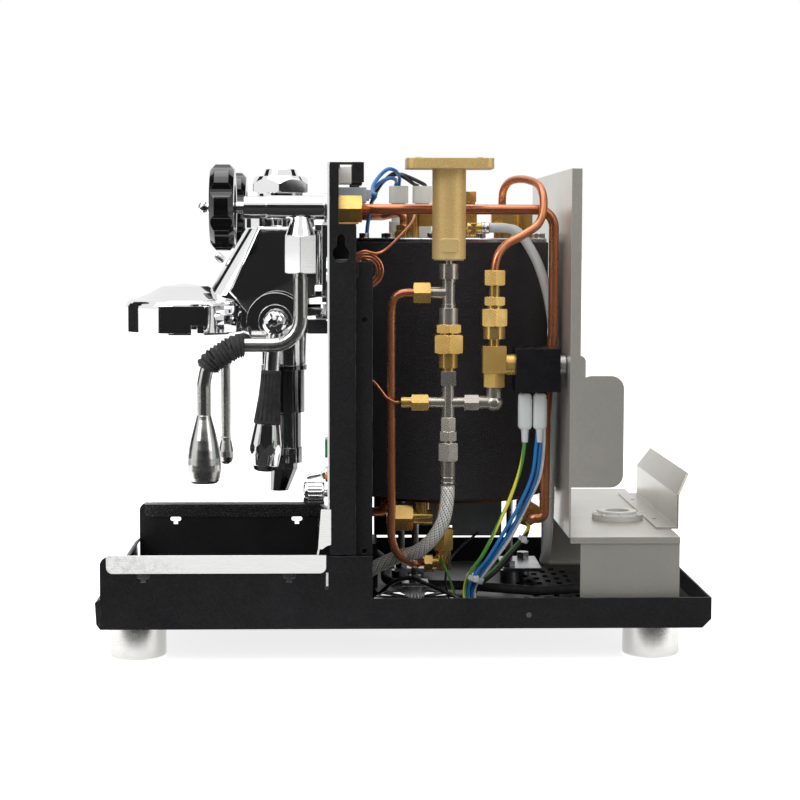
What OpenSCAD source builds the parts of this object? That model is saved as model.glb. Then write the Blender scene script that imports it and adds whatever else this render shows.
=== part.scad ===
// Two-valve espresso machine with a heat-exchanger boiler, its casing panels off.
// X runs to the machine's right-hand side, Y to its rear and Z up.
// The origin lies on the table, under the centre of the chassis. Sizes are in millimetres.
// Heights named ..._h are counted from the underside of the pan, which stands on the feet.

/* [Chassis] */
// Width over the trims of the two side cheeks
body_w = 320; // [267:1:384]
// Depth of the drip tray bay, from the fascia to the front panel
bay_d = 180; // [150:1:216]
// Depth of the boiler room, from the front panel to the dividing wall
room_d = 188; // [175:1:226]
// Depth of the water tank space, from the dividing wall to the rear
tank_d = 112; // [95:1:134]
// Thickness of the chassis sheet
sheet = 1.5; // [1.2:0.1:2]
// Height of the pan's rim
rim_h = 24; // [20:1:30]
// Height of the side cheeks beside the drip tray bay
cheek_h = 57; // [48:1:68]
// Height of the front panel's top edge
panel_h = 361; // [352:1:372]

/* [Feet] */
// Height of the feet
foot_h = 29; // [24:1:40]
// Diameter of the feet
foot_d = 45; // [38:1:54]
// Distance of the foot centres from the sides
foot_in_x = 43; // [34:1:52]
// Distance of the front feet's centres from the fascia
foot_front = 29; // [26:1:60]
// Distance of the rear feet's centres from the rear wall
foot_rear = 41; // [30:1:60]

/* [Boiler] */
// Outer radius of the insulation jacket
jacket_r = 82; // [68:1:84]
// Thickness of the insulation jacket
jacket_t = 8; // [6:0.5:10]
// Height of the jacket's lower edge
jacket_low_h = 90; // [82:1:96]
// Length of the jacket
jacket_len = 210; // [190:1:220]
// Gap between the jacket and the dividing wall
boiler_gap = 2; // [2:1:10]

/* [Group] */
// Outer radius of the bell that takes the portafilter
bell_r = 50.5; // [42:0.5:60]
// Radius of the portafilter socket
socket_r = 36; // [30:0.5:40]
// Distance from the front panel to the bell's axis
bell_reach = 120.6; // [112:0.2:124]
// Height of the bell's rim
bell_h = 223; // [215:1:226]

/* [Taps and wands] */
// Distance between the two steam and water taps
tap_spacing = 210; // [175:1:252]
// Height of the tap axes
tap_h = 327; // [320:1:334]
// Diameter of the tap knobs
knob_d = 68; // [56:1:80]
// Diameter of the wand tubes
wand_d = 11; // [9:0.5:12]
// Forward reach of the hot water wand, from its ball joint
wand_reach = 77; // [64:1:90]

/* [Plumbing] */
// Distance of the valve columns from the side of the chassis
column_in = 34; // [30:1:40]
// Diameter of the hot water and steam pipes
pipe_d = 8; // [6:0.5:10]
// Diameter of the thinner feed pipes
feed_d = 6.5; // [5:0.5:8]
// Diameter of the braided pump hose
braid_d = 11; // [9:0.5:12]
// Diameter of the silicone tubes
silicone_d = 8; // [6:0.5:9]

/* [Tank] */
// Diameter of the tank coupling
coupling_d = 42; // [34:1:50]
// Bore of the tank coupling, which takes the tank's outlet valve
coupling_bore = 20; // [16:0.5:24]

/* [Hidden] */

// Facets of round parts, and the smallest gaps between parts
$fn = 96;
fit = 0.05;
clear = 0.3;

// Places that everything else is set out from
side_x = body_w / 2;
body_d = bay_d + room_d + tank_d;
front_y = -body_d / 2;
rear_y = body_d / 2;
panel_y = front_y + bay_d;
wall_y = rear_y - tank_d;
boiler_y = wall_y - boiler_gap - jacket_r;
collar_h = 6;
lid_h = jacket_low_h + jacket_len - collar_h;
tap_x = tap_spacing / 2;
column_x = side_x - column_in;
column_a_y = wall_y - 93;
column_b_y = wall_y - 57;

// Chassis
pan_x = side_x - 1;
floor_h = sheet;
cheek_rear_y = panel_y + 35;
cheek_corner = 7;
crown = 4;
trim_t = 0.8;
trim_drop = 13;
wall_low_h = 70.6;
wall_top_h = 357;
wall_x = side_x - 5;
bridge_x = side_x - 10;
bridge_front_y = wall_y + 10;
bridge_rear_y = rear_y - 24;
coupling_x = 48;
coupling_y = wall_y + 53;

// Front frame
frame_y = panel_y + sheet + 0.2;
flange_y = panel_y + 22;
flange_x = side_x - 2;
column_rear_y = panel_y + 35;
column_leg_x = side_x - 9;
flange_top_h = 314;
column_top_h = 285;

// Drum, its lid and its ports as [x, y from the drum's axis], which move in with a smaller drum
vessel_r = jacket_r - jacket_t - 0.4;
flange_r = vessel_r + 7;
lid_t = 5;
lid_top_h = lid_h + 4.3 + lid_t;
drum_k = vessel_r / 73.6;
port_siphon = drum_k * [12, -40];
port_steam = drum_k * [-44, -22];
port_fill = drum_k * [25, 41];
port_relief = drum_k * [12, 14.5];
port_plug = drum_k * [44, -34];
port_vent = drum_k * [42, 16];
port_filler = drum_k * [4, 60];
fill_seat = 21.5;
vent_h = lid_top_h + 8.4;
leg_places = drum_k * [[30, -31], [-45, -40], [-45, 55]];
boot_x = -18 * drum_k;
boot_y = boiler_y + drum_k * -44;
boot_top = 44;
lid_bolts = 12;
under_h = 75;
under_x = 62 * drum_k;
inlet_h = 37;
hot_out_x = 60 * drum_k;
hot_out_y = 60 * drum_k;
siphon_y = boiler_y + port_siphon[1];

// Group
bell_y = panel_y - bell_reach;
cap_y = panel_y - 40;
cap_seat_h = 340.5;
chamber_y = panel_y - 37.5;
cam_y = panel_y - 43.5;
cam_h = 234;
hub_r = 9;
lever_x = 60;
lever_lean = 4.3;
socket_len = 10.5;
seal_r = socket_r - 1.2;
screen_h = bell_h + 14;
bell_len = 30;
grip_top = 39;
grip_len = 44;

// Taps and wands
hot_pipe_x = tap_x - 7;
nut_y = panel_y - 21.5;
nut_low_h = tap_h - 52;
nut_top_h = tap_h - 22;
ball_r = 10;
ball_h = nut_low_h + 13;
wand_r = wand_d / 2;
reach_h = tap_h - 109;
grip_low_h = reach_h - 17;
steam_reach = wand_reach - 6;
wand_steps = 6;
knob_y = panel_y - 73;
lobes = 8;

// Front panel openings
gauge_x = 68;
gauge_h = 262;
gauge_r = 26;
bezel_t = 1.2;
dial_depth = 8;
pivot_r = 0.8;
gauge_len = frame_y + sheet + 24 - panel_y + bezel_t;
control_x = 100;
lamp_h = 136;
toggle_h = 114.5;
toggle_tilt = 12;
toggle_ball_r = 2.6;
selector_h = 99;
union_h = 235;
siphon_h = 322;

// Heights on the valve columns
valve_low_h = 286;
valve_top_h = 365;
tee_low_h = 235.8;
tee_port_h = 260.5;
cross_h = 174.3;
hose_top_h = 108.4;
coil_h = 200.2;

// Pump lying across the front of the pan
pump_x = 52;
pump_y = panel_y + 23;
pump_h = 26;

// Reach of the nickel cross's arms
cross_left = 15.7;
cross_right = 12.5;

// Everything but the feet stands on the feet
module on_feet() translate([0, 0, foot_h]) children();

// Turns a part that was drawn along Z to run along X, to the rear or to the front
module along_x() rotate([0, 90, 0]) children();
module to_rear() rotate([-90, 0, 0]) children();
module to_front() rotate([90, 0, 0]) children();

// Both sides of the machine
module both_sides() {
  children();
  mirror([1, 0, 0]) children();
}

// A bent sheet's outline, drawn in Y and height, given its width along X
module cut_along_x(low_x, high_x)
  translate([low_x, 0, 0])
    rotate([90, 0, 90])
      linear_extrude(high_x - low_x) children();

// A rectangle between two corners
module span(a, b) translate(a) square(b - a);

// A rectangle with round corners, centred
module round_square(size, r) {
  square([size[0] - 2 * r, size[1]], center = true);
  square([size[0], size[1] - 2 * r], center = true);
  for (x = [-1, 1])
    for (y = [-1, 1])
      translate([x * (size[0] / 2 - r), y * (size[1] / 2 - r)]) circle(r, $fn = 48);
}

// A plain ring
module ring(outer_r, inner_r, h)
  difference() {
    cylinder(r = outer_r, h = h);
    translate([0, 0, -1]) cylinder(r = inner_r, h = h + 2);
  }

// A hexagon nut across its flats, with turned corners and a bore
module hex_nut(flats, h, bore_r = 0) {
  corner = flats / sqrt(3);
  bevel = (corner - flats / 2) * 0.9;
  difference() {
    intersection() {
      cylinder(r = corner, h = h, $fn = 6);
      rotate_extrude()
        polygon([[0, 0], [corner - bevel, 0], [corner, bevel * 0.6], [corner, h - bevel * 0.6],
          [corner - bevel, h], [0, h]]);
    }
    if (bore_r > 0) translate([0, 0, -1]) cylinder(r = bore_r, h = h + 2);
  }
}

// A turned part from a list of [radius, length] steps, stacked from z = 0
function total(steps, n) = n == 0 ? 0 : steps[n - 1][1] + total(steps, n - 1);
module turned(steps)
  for (i = [0:len(steps) - 1])
    translate([0, 0, total(steps, i)]) cylinder(r = steps[i][0], h = steps[i][1]);

// Rounding of a route's corners: the arc that joins a-b to b-c
function unit(v) = v / norm(v);
function corner_arc(a, b, c, r, steps) =
  let (u = unit(b - a), v = unit(c - b), turn = acos(max(-1, min(1, u * v))))
  turn < 1 ? [b] :
  let (back = min(r * tan(turn / 2), 0.48 * norm(b - a), 0.48 * norm(c - b)),
    bend_r = back / tan(turn / 2),
    side = unit(v - (u * v) * u),
    centre = b - back * u + bend_r * side)
  [for (i = [0:steps]) centre + bend_r * (sin(turn * i / steps) * u - cos(turn * i / steps) * side)];
function rounded(route, r, steps = 4) =
  [route[0],
    for (i = [1:1:len(route) - 2]) each corner_arc(route[i - 1], route[i], route[i + 1], r, steps),
    route[len(route) - 1]];

// Directions along a route, and a cross direction carried along it without twist
function heading(p, i) =
  let (last = len(p) - 1)
  i == 0 ? unit(p[1] - p[0]) :
  i == last ? unit(p[last] - p[last - 1]) :
  unit(unit(p[i + 1] - p[i]) + unit(p[i] - p[i - 1]));
function crosswise(v, t) = unit(v - (v * t) * t);
function carried(p, i, v) =
  i == len(p) ? [] : let (c = crosswise(v, heading(p, i))) [c, each carried(p, i + 1, c)];

// Rings of points round a path, one ring for each of its points
function rings(p, radii, sides) =
  let (start = unit(p[1] - p[0]), across = carried(p, 0, abs(start[2]) < 0.9 ? [0, 0, 1] : [1, 0, 0]))
  [for (i = [0:len(p) - 1]) for (k = [0:sides - 1])
    let (a = 360 * k / sides, c = across[i], s = cross(heading(p, i), c))
    p[i] + radii[i] * (cos(a) * c + sin(a) * s)];
function skin(n, sides, from = 0, inward = false) =
  [for (i = [0:n - 2]) for (k = [0:sides - 1])
    let (a = from + i * sides + k, b = from + i * sides + (k + 1) % sides, c = b + sides, e = a + sides)
    each inward ? [[a, b, c], [a, c, e]] : [[a, c, b], [a, e, c]]];

// A tube of round section swept along a path, as one solid
module swept(p, d, sides = 12) {
  n = len(p);
  ends = [[for (k = [0:sides - 1]) k], [for (k = [sides - 1:-1:0]) (n - 1) * sides + k]];
  polyhedron(rings(p, [for (i = [0:n - 1]) d / 2], sides), concat(skin(n, sides), ends), convexity = 6);
}

// A sleeve along a path: outer radii ring by ring, and one inner radius
module sleeve(p, outer_radii, inner_r, sides = 12) {
  n = len(p);
  m = n * sides;
  rims = [for (k = [0:sides - 1]) let (k2 = (k + 1) % sides, last = (n - 1) * sides)
    each [[k, k2, m + k2], [k, m + k2, m + k],
      [last + k, m + last + k2, last + k2], [last + k, m + last + k, m + last + k2]]];
  polyhedron(concat(rings(p, outer_radii, sides), rings(p, [for (i = [0:n - 1]) inner_r], sides)),
    concat(skin(n, sides), skin(n, sides, m, true), rims), convexity = 8);
}

// ---------- Chassis ----------

// Outline of a side of the pan in Y and height, its front part raised into a cheek
module pan_side() {
  front = front_y + crown;
  difference() {
    union() {
      span([front, 0], [rear_y, rim_h]);
      span([front, 0], [cheek_rear_y, cheek_h]);
    }
    difference() {
      span([front - 1, cheek_h - cheek_corner], [front + cheek_corner, cheek_h + 1]);
      translate([front + cheek_corner, cheek_h - cheek_corner]) circle(cheek_corner);
    }
    polygon([[rear_y - 8, -1], [rear_y + 1, -1], [rear_y + 1, 8]]);
  }
}

// Openings for the tray hooks, the casing's tabs and the casing screws in one side
module side_openings() {
  for (y = [front_y + 37.5, front_y + 150.2])
    cut_along_x(side_x - 5, side_x + 5)
      translate([y, cheek_h - 15]) {
        round_square([10, 4], 1.9);
        translate([0, -3]) square([4, 4], center = true);
      }
  cut_along_x(side_x - 5, side_x + 5)
    translate([panel_y - 0.5, cheek_h - 19]) square([2.4, 13], center = true);
  translate([side_x - 5, wall_y - 31, rim_h / 2 - 1.5]) along_x() cylinder(r = 2.2, h = 10);
}

// Round spoked vent under the boiler
module spoked_vent() {
  spokes = 12;
  for (i = [0:spokes - 1])
    rotate(360 / spokes * i)
      polygon([[13, -1.8], [34, -6.2], [35, 0], [34, 6.2], [13, 1.8]]);
}

// Field of staggered slots under the tank end
module slotted_vent() {
  for (row = [0:5])
    for (i = [-4:4])
      translate([i * 24 + (row % 2) * 12 - 6, row * 9]) square([12, 5], center = true);
}

module base_pan() color("#17181a") on_feet() {
  difference() {
    intersection() {
      cut_along_x(-pan_x, pan_x) pan_side();
      union() {
        translate([-pan_x, front_y, 0]) cube([2 * pan_x, body_d, floor_h]);
        both_sides() translate([pan_x - sheet, front_y, 0]) cube([sheet, body_d, cheek_h]);
        translate([-pan_x, rear_y - sheet, 0]) cube([2 * pan_x, sheet, rim_h]);
        cut_along_x(-pan_x, pan_x)
          polygon([[rear_y - 8, 0], [rear_y, 8], [rear_y - sheet, 8.5], [rear_y - 8.5, sheet]]);
      }
    }
    both_sides() side_openings();
    translate([leg_places[0][0], boiler_y + leg_places[0][1], -1]) linear_extrude(sheet + 2) spoked_vent();
    translate([-6, wall_y - 21, -1]) linear_extrude(sheet + 2) slotted_vent();
    for (x = [-1, 1])
      for (y = [front_y + foot_front, rear_y - foot_rear])
        translate([x * (side_x - foot_in_x), y, -1]) cylinder(r = 4 + clear, h = sheet + 2);
  }
  // Fascia: a strip across the front, folded back a little at its top and bottom
  back_y = front_y + sheet;
  cut_along_x(-pan_x, pan_x)
    polygon([[front_y + crown, 0], [front_y + 1, 4], [front_y, rim_h - 3], [front_y + crown, rim_h],
      [back_y + crown, rim_h - 0.4], [back_y, rim_h - 3.6], [back_y + 1, 4.6], [back_y + crown, 0.6]]);
}

// Folded stainless trims over the top edges of the cheeks
module bay_trims() color("#d9dbdd") on_feet()
  both_sides() difference() {
    trim_front = front_y + 9;
    trim_rear = panel_y - 1;
    cut_along_x(pan_x - sheet - 0.2 - trim_t, side_x)
      difference() {
        span([trim_front, cheek_h - trim_drop], [trim_rear, cheek_h + trim_t]);
        difference() {
          span([trim_front - 1, cheek_h - trim_drop - 1], [trim_front + 5, cheek_h - trim_drop + 5]);
          translate([trim_front + 5, cheek_h - trim_drop + 5]) circle(5);
        }
        difference() {
          span([trim_rear - 5, cheek_h - trim_drop - 1], [trim_rear + 1, cheek_h - trim_drop + 5]);
          translate([trim_rear - 5, cheek_h - trim_drop + 5]) circle(5);
        }
        difference() {
          span([trim_front - 1, cheek_h - 8], [trim_front + 5, cheek_h + trim_t + 1]);
          translate([front_y + crown + cheek_corner, cheek_h - cheek_corner]) circle(cheek_corner + trim_t);
        }
      }
    translate([pan_x - sheet - 0.2, trim_front - 1, cheek_h - trim_drop - 1])
      cube([sheet + 0.4, trim_rear - trim_front + 2, trim_drop + 1]);
  }

function foot_places() = [for (x = [-1, 1]) for (y = [front_y + foot_front, rear_y - foot_rear])
  [x * (side_x - foot_in_x), y, 0]];

// Turned feet with a stud through the pan
module feet() color("#b9bbbc")
  for (place = foot_places())
    translate(place)
      rotate_extrude()
        polygon([[0, 3], [foot_d / 2 - 5, 3], [foot_d / 2 - 5, 1], [foot_d / 2 - 1, 1], [foot_d / 2, 2],
          [foot_d / 2, foot_h - 1], [foot_d / 2 - 1, foot_h], [4, foot_h], [4, foot_h + sheet + 9],
          [3.4, foot_h + sheet + 9.6], [0, foot_h + sheet + 9.6]]);

// Rubber pads let into the feet
module foot_pads() color("#26262a")
  for (place = foot_places())
    translate(place) cylinder(r = foot_d / 2 - 5 - clear, h = 3);

module foot_nuts() color("#c9cacb")
  for (place = foot_places())
    translate(place + [0, 0, foot_h + sheet]) {
      ring(8, 4 + fit, 1.2);
      translate([0, 0, 1.2]) hex_nut(13, 6, 4 + fit);
    }

// ---------- Front panel and its frame ----------

// Cut-outs that the panel and the frame share, in X and height
module panel_cutouts(slack) {
  for (x = [-tap_x, tap_x]) translate([x, tap_h]) circle(8 + slack);
  for (x = [-gauge_x, gauge_x]) translate([x, gauge_h]) circle(gauge_r - 1.5 + slack);
  translate([0, union_h]) circle(7 + slack);
  translate([0, siphon_h]) circle(7 + slack);
  for (x = [-24, 24])
    for (h = [union_h + 24, siphon_h - 8])
      translate([x, h]) circle(3 + slack);
  translate([control_x, toggle_h]) circle(5 + slack);
  translate([control_x, selector_h]) circle(4 + slack);
  translate([control_x, lamp_h]) square([18 + 2 * slack, 12 + 2 * slack], center = true);
}

// A plate that stands in X and height, with its front face at y
module upright(y, t) translate([0, y + t, 0]) rotate([90, 0, 0]) linear_extrude(t) children();

module front_panel() color("#d4d6d8") on_feet() {
  panel_x = side_x - 1.5;
  upright(panel_y, sheet)
    difference() {
      span([-panel_x, 94], [panel_x, panel_h]);
      panel_cutouts(0);
    }
  // The lower edge leans out over the drip tray
  lip_x = pan_x - sheet - 0.2 - trim_t - clear;
  cut_along_x(-lip_x, lip_x)
    polygon([[panel_y, 94], [panel_y - 8, 60], [panel_y - 8.5, 56], [panel_y - 7, 56],
      [panel_y - 6.5, 60], [panel_y + sheet, 94]]);
}

// Black sheet frame that carries the panel, folded back along its edges
module front_frame() color("#1b1c1e") on_feet() {
  low_h = cheek_h + 1;
  difference() {
    union() {
      upright(frame_y, sheet)
        difference() {
          union() {
            span([-flange_x, low_h], [flange_x, panel_h]);
            span([-pan_x + sheet + clear, floor_h], [pan_x - sheet - clear, low_h]);
          }
          panel_cutouts(2);
        }
      both_sides() {
        cut_along_x(flange_x - sheet, flange_x) {
          span([frame_y, low_h], [flange_y, flange_top_h]);
          span([frame_y, low_h], [frame_y + 7, panel_h]);
        }
        // Top corner with the casing's clip
        cut_along_x(flange_x - 16, flange_x) {
          span([frame_y, panel_h - sheet], [panel_y + 28, panel_h]);
          span([panel_y + 19, panel_h - 15], [panel_y + 28, panel_h]);
        }
      }
      translate([-flange_x, frame_y, panel_h - sheet]) cube([2 * flange_x, 8, sheet]);
    }
    both_sides() translate([flange_x - 5, panel_y + 10.5, 0]) {
      // Keyholes that the casing hooks into
      translate([0, 0, 291]) along_x() cylinder(r = 6.5, h = 10);
      translate([0, 0, 303]) along_x() cylinder(r = 3.2, h = 10);
      translate([0, -3.2, 291]) cube([10, 6.4, 12]);
    }
  }
}

// Angle columns that tie the frame to the pan's floor
module frame_columns() color("#1d1e20") on_feet()
  both_sides() difference() {
    union() {
      translate([column_leg_x - sheet, flange_y, floor_h])
        cube([sheet, column_rear_y - flange_y, column_top_h - floor_h]);
      translate([column_leg_x - 18, flange_y, floor_h]) cube([18, sheet, column_top_h - floor_h]);
      translate([column_leg_x - sheet, flange_y, column_top_h - 12])
        cube([flange_x - column_leg_x, sheet, 12]);
      translate([column_leg_x - 18, flange_y, floor_h]) cube([18, column_rear_y - flange_y, sheet]);
    }
    for (h = [60, 240])
      translate([column_leg_x - 5, (flange_y + column_rear_y) / 2, h]) along_x() cylinder(r = 2.2, h = 10);
  }

// Electronics in a small box behind the top of the panel
module control_box() color("#a9b6c2") on_feet()
  translate([12, frame_y + sheet + 14, 332]) {
    linear_extrude(12) round_square([120, 28], 2);
    for (x = [-56, 44])
      translate([x, 14, 3]) cube([14, 4, 7]);
  }

// ---------- Tank end ----------

// Folded stainless wall between the boiler and the water tank
module tank_wall() color("#c6c8ca") on_feet() {
  difference() {
    upright(wall_y, sheet)
      difference() {
        span([-wall_x, wall_low_h], [wall_x, wall_top_h]);
        translate([coupling_x, 92]) circle(9);
        translate([-70, 120]) circle(9);
      }
  }
  both_sides() {
    cut_along_x(wall_x - sheet, wall_x) {
      span([wall_y, 207.2], [wall_y + 8, wall_top_h]);
      // Tab and wing that the casing screws to
      span([wall_y, 174.5], [wall_y + 12, 208]);
      span([wall_y, 174.5], [wall_y + 7, 213.4]);
      translate([wall_y + 7, 208]) circle(5);
      span([wall_y, 109.9], [wall_y + 20, 184]);
      hull()
        for (y = [wall_y + 16.7, wall_y + 32])
          for (h = [119.9, 187.1])
            translate([y, h]) circle(10, $fn = 32);
    }
  }
  translate([-wall_x, wall_y, wall_top_h - sheet]) cube([2 * wall_x, 8, sheet]);
}

// Bridge over the floor that the tank stands on, open to the front and rear
module tank_bridge() color("#bfc1c3") on_feet() {
  depth = bridge_rear_y - bridge_front_y;
  difference() {
    union() {
      // Lid with a folded lip on both sides
      translate([-bridge_x, bridge_front_y - 8, wall_low_h - sheet]) cube([2 * bridge_x, depth + 8, sheet]);
      both_sides() {
        translate([bridge_x - sheet, bridge_front_y, floor_h])
          cube([sheet, depth, wall_low_h - floor_h - sheet]);
        translate([bridge_x, bridge_front_y - 8, wall_low_h - 5]) cube([sheet, depth + 8, 5]);
        translate([bridge_x - 14, bridge_front_y, floor_h]) cube([14, depth, sheet]);
      }
      translate([-bridge_x, bridge_rear_y - sheet, wall_low_h - 12]) cube([2 * bridge_x, sheet, 12]);
    }
    translate([coupling_x, coupling_y, wall_low_h - 5]) cylinder(r = coupling_bore / 2 + 4.3, h = 10);
    // Hole beside the coupling for the level switch lead
    translate([coupling_x - 60, coupling_y, wall_low_h - 5]) cylinder(r = 5, h = 10);
  }
}

// Bent plate behind the tank that guides it onto the coupling
module tank_guide() color("#c3c5c7") on_feet() {
  foot_y = rear_y - 18;
  difference() {
    intersection() {
      cut_along_x(-108, 108)
        polygon([[bridge_rear_y - 12, wall_low_h], [foot_y, wall_low_h], [foot_y, 97], [foot_y + 10, 114],
          [foot_y + 8.6, 114.8], [foot_y - sheet, 97.6], [foot_y - sheet, wall_low_h + sheet],
          [bridge_rear_y - 12, wall_low_h + sheet]]);
      translate([0, rear_y, 0]) rotate([90, 0, 0])
        linear_extrude(80)
          polygon([[-108, 60], [108, 60], [108, 98], [94, 116], [-94, 116], [-108, 98]]);
    }
    for (x = [-60, 60])
      translate([x, bridge_rear_y - 6, wall_low_h - 1]) cylinder(r = 2.2, h = 6);
  }
}

// White coupling that the tank's outlet valve seats in
module tank_coupling() color("#f2f2ee") on_feet()
  translate([coupling_x, coupling_y, wall_low_h])
    difference() {
      union() {
        cylinder(r = coupling_d / 2, h = 4.4);
        cylinder(r = coupling_bore / 2 + 6, h = 7);
        translate([0, 0, -16]) cylinder(r = coupling_bore / 2 + 4, h = 17);
        translate([0, 0, -30]) cylinder(r = silicone_d / 2 - 1, h = 15);
        for (i = [0:7])
          rotate(45 * i) translate([coupling_d / 2 - 4, -1, 0]) cube([4, 2, 5.4]);
      }
      translate([0, 0, -13]) cylinder(r = coupling_bore / 2, h = 30);
      translate([0, 0, -31]) cylinder(r = 1.6, h = 30);
    }

// ---------- Boiler ----------

module boiler_at(h) translate([0, boiler_y, h]) children();

// Copper drum with a flange that the lid bolts to
module boiler_vessel() color("#c98a5a") on_feet()
  boiler_at(0)
    difference() {
      union() {
        translate([0, 0, jacket_low_h - 3]) cylinder(r = vessel_r, h = lid_h - jacket_low_h + 3);
        translate([0, 0, lid_h + 0.3]) cylinder(r = flange_r, h = 4);
        translate([0, 0, lid_h]) cylinder(r = vessel_r, h = 1);
      }
      translate([0, 0, jacket_low_h - 1]) cylinder(r = vessel_r - 1.5, h = jacket_len + 10);
    }

// Woven insulation wrapped round the drum
module boiler_jacket() color("#202022") on_feet()
  boiler_at(jacket_low_h)
    difference() {
      rotate_extrude()
        polygon([[vessel_r + 0.2, 0], [jacket_r - 1.5, 0], [jacket_r, 1.5], [jacket_r, jacket_len - 0.5],
          [jacket_r - 0.5, jacket_len], [flange_r + 0.25, jacket_len],
          [flange_r + 0.25, jacket_len - collar_h], [vessel_r + 0.2, jacket_len - collar_h]]);
      // Seam where the wrap closes
      rotate(100) translate([vessel_r + 4, -0.4, -1]) cube([20, 0.8, jacket_len + 2]);
    }

// Lid with its ring of socket bolts
module boiler_lid() color("#cfd0d1") on_feet()
  boiler_at(lid_h + 4.3) {
    difference() {
      rotate_extrude()
        polygon([[0, 0], [flange_r, 0], [flange_r, lid_t - 0.8], [flange_r - 0.8, lid_t], [0, lid_t]]);
      for (i = [0:lid_bolts - 1])
        rotate(360 / lid_bolts * (i + 0.5))
          translate([flange_r - 4.4, 0, -1]) cylinder(r = 2.2, h = lid_t + 2);
    }
    for (i = [0:lid_bolts - 1])
      rotate(360 / lid_bolts * (i + 0.5))
        translate([flange_r - 4.4, 0, lid_t])
          difference() {
            cylinder(r = 4, h = 4, $fn = 48);
            translate([0, 0, 1.6]) cylinder(r = 2.3, h = 4, $fn = 6);
          }
  }

// Legs between the pan's floor and the drum, and the cradle plate under it with its two skirts
module boiler_legs() color("#77787b") on_feet() {
  top_h = jacket_low_h - 3;
  half_plate = 52 * drum_k;
  near_skirt = drum_k * [-1, 40];
  far_skirt = drum_k * [-48, 34];
  boiler_at(0) {
    translate([-half_plate, near_skirt[0], top_h - 2])
      cube([2 * half_plate, far_skirt[1] - near_skirt[0], 2]);
    translate([half_plate - 2, near_skirt[0], top_h - 30]) cube([2, near_skirt[1] - near_skirt[0], 30]);
    translate([-half_plate, far_skirt[0], top_h - 36]) cube([2, far_skirt[1] - far_skirt[0], 36]);
    for (place = leg_places)
      translate([place[0], place[1], 0]) {
        // Rubber mount, rod and its nuts
        translate([0, 0, floor_h]) cylinder(r = 8.5, h = 11);
        translate([0, 0, floor_h + 14]) hex_nut(10, 5);
        translate([0, 0, top_h - 5]) hex_nut(10, 5);
        translate([0, 0, floor_h + 10]) cylinder(r = 3, h = top_h - floor_h - 12);
      }
    // Foot plates on the far side
    for (place = [leg_places[1], leg_places[2]])
      translate([place[0] - 55, place[1] - 6, floor_h + 11]) {
        cube([67, 34, 3]);
        translate([12, 22, -11]) cylinder(r = 6, h = 12);
        translate([12, 22, 3]) hex_nut(10, 6);
      }
    translate([leg_places[0][0] - 11, leg_places[0][1] - 11, floor_h + 11]) cube([22, 22, 3]);
  }
}

// Looped heating element under the lid
module heating_element() color("#8d8f91") on_feet()
  for (y = [-14, 14])
    swept(rounded([[-22, boiler_y + y, lid_h + 4.3], [-22, boiler_y + y, jacket_low_h + 26],
      [22, boiler_y + y, jacket_low_h + 26], [22, boiler_y + y, lid_h + 4.3]], 20, 5), 8, 10);

// Brass pieces screwed into the lid and into the drum's underside
module boiler_fittings() color("#c8a24a") on_feet() {
  translate([0, 0, lid_top_h]) {
    // Safety valve with its hexagon cap
    translate([port_relief[0], boiler_y + port_relief[1], 0]) {
      hex_nut(17, 8);
      turned([[6.5, 26], [5, 4]]);
      translate([0, 0, 30]) hex_nut(11, 9);
    }
    // Plug and its square block
    translate([port_plug[0], boiler_y + port_plug[1], 0]) {
      turned([[5.6, 20.5]]);
      translate([-6, 5, 9.5]) cube([12, 11, 11]);
    }
    // Fitting that the fill pipe comes down to, and the level probe behind it
    translate([port_fill[0], boiler_y + port_fill[1], 0]) {
      turned([[7, 6.5]]);
      translate([0, 0, 6.5]) hex_nut(18.6, fill_seat - 6.5);
    }
    translate([port_filler[0], boiler_y + port_filler[1], 0]) turned([[8.6, 21], [6, 3]]);
    // Siphon and steam outlets
    for (port = [port_siphon, port_steam])
      translate([port[0], boiler_y + port[1], 0]) hex_nut(17, 6);
    // Elbow for the vent tube
    translate([port_vent[0], boiler_y + port_vent[1], 0]) {
      hex_nut(11, 2.5);
      turned([[4.2, 12]]);
      translate([0, -5, vent_h - lid_top_h]) to_rear() turned([[4.2, 12], [silicone_d / 2 - 1, 6]]);
    }
  }
  // Heat exchanger inlet: elbow and nut under the drum
  translate([under_x + 4, boiler_y - 9, inlet_h]) {
    translate([0, 0, 10.5]) hex_nut(15, 18);
    translate([0, 0, 28.5]) cylinder(r = 5, h = jacket_low_h - 3 - inlet_h - 28.5);
    translate([0, 0, -6]) cylinder(r = 6.2, h = 16.5);
    translate([0, 1, 0]) to_front() cylinder(r = 5.2, h = 10);
  }
  // Drain fitting, a hexagon and a barrel lying along Y
  translate([under_x - 2, 0, under_h - 1]) {
    translate([0, boiler_y - 50, 0]) to_rear() hex_nut(21, 16);
    translate([0, boiler_y - 56, 0]) to_rear() cylinder(r = 5, h = 8);
    translate([0, boiler_y - 34, 0]) to_rear() cylinder(r = 5.7, h = 16);
    translate([0, boiler_y - 26, 0]) cylinder(r = 5, h = jacket_low_h - 3 - under_h + 1);
  }
  // Hot water outlet, facing the side
  translate([0, boiler_y + hot_out_y, under_h + 3]) {
    translate([hot_out_x, 0, 0]) along_x() hex_nut(19, 12, pipe_d / 2 + 0.15);
    translate([hot_out_x - 26, 0, 0]) along_x() cylinder(r = 6, h = 26);
    translate([hot_out_x - 26, 0, 0]) cylinder(r = 5.5, h = jacket_low_h - 3 - under_h - 3);
    translate([hot_out_x - 26, 0, -6]) cylinder(r = 6.4, h = 12);
  }
}

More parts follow.
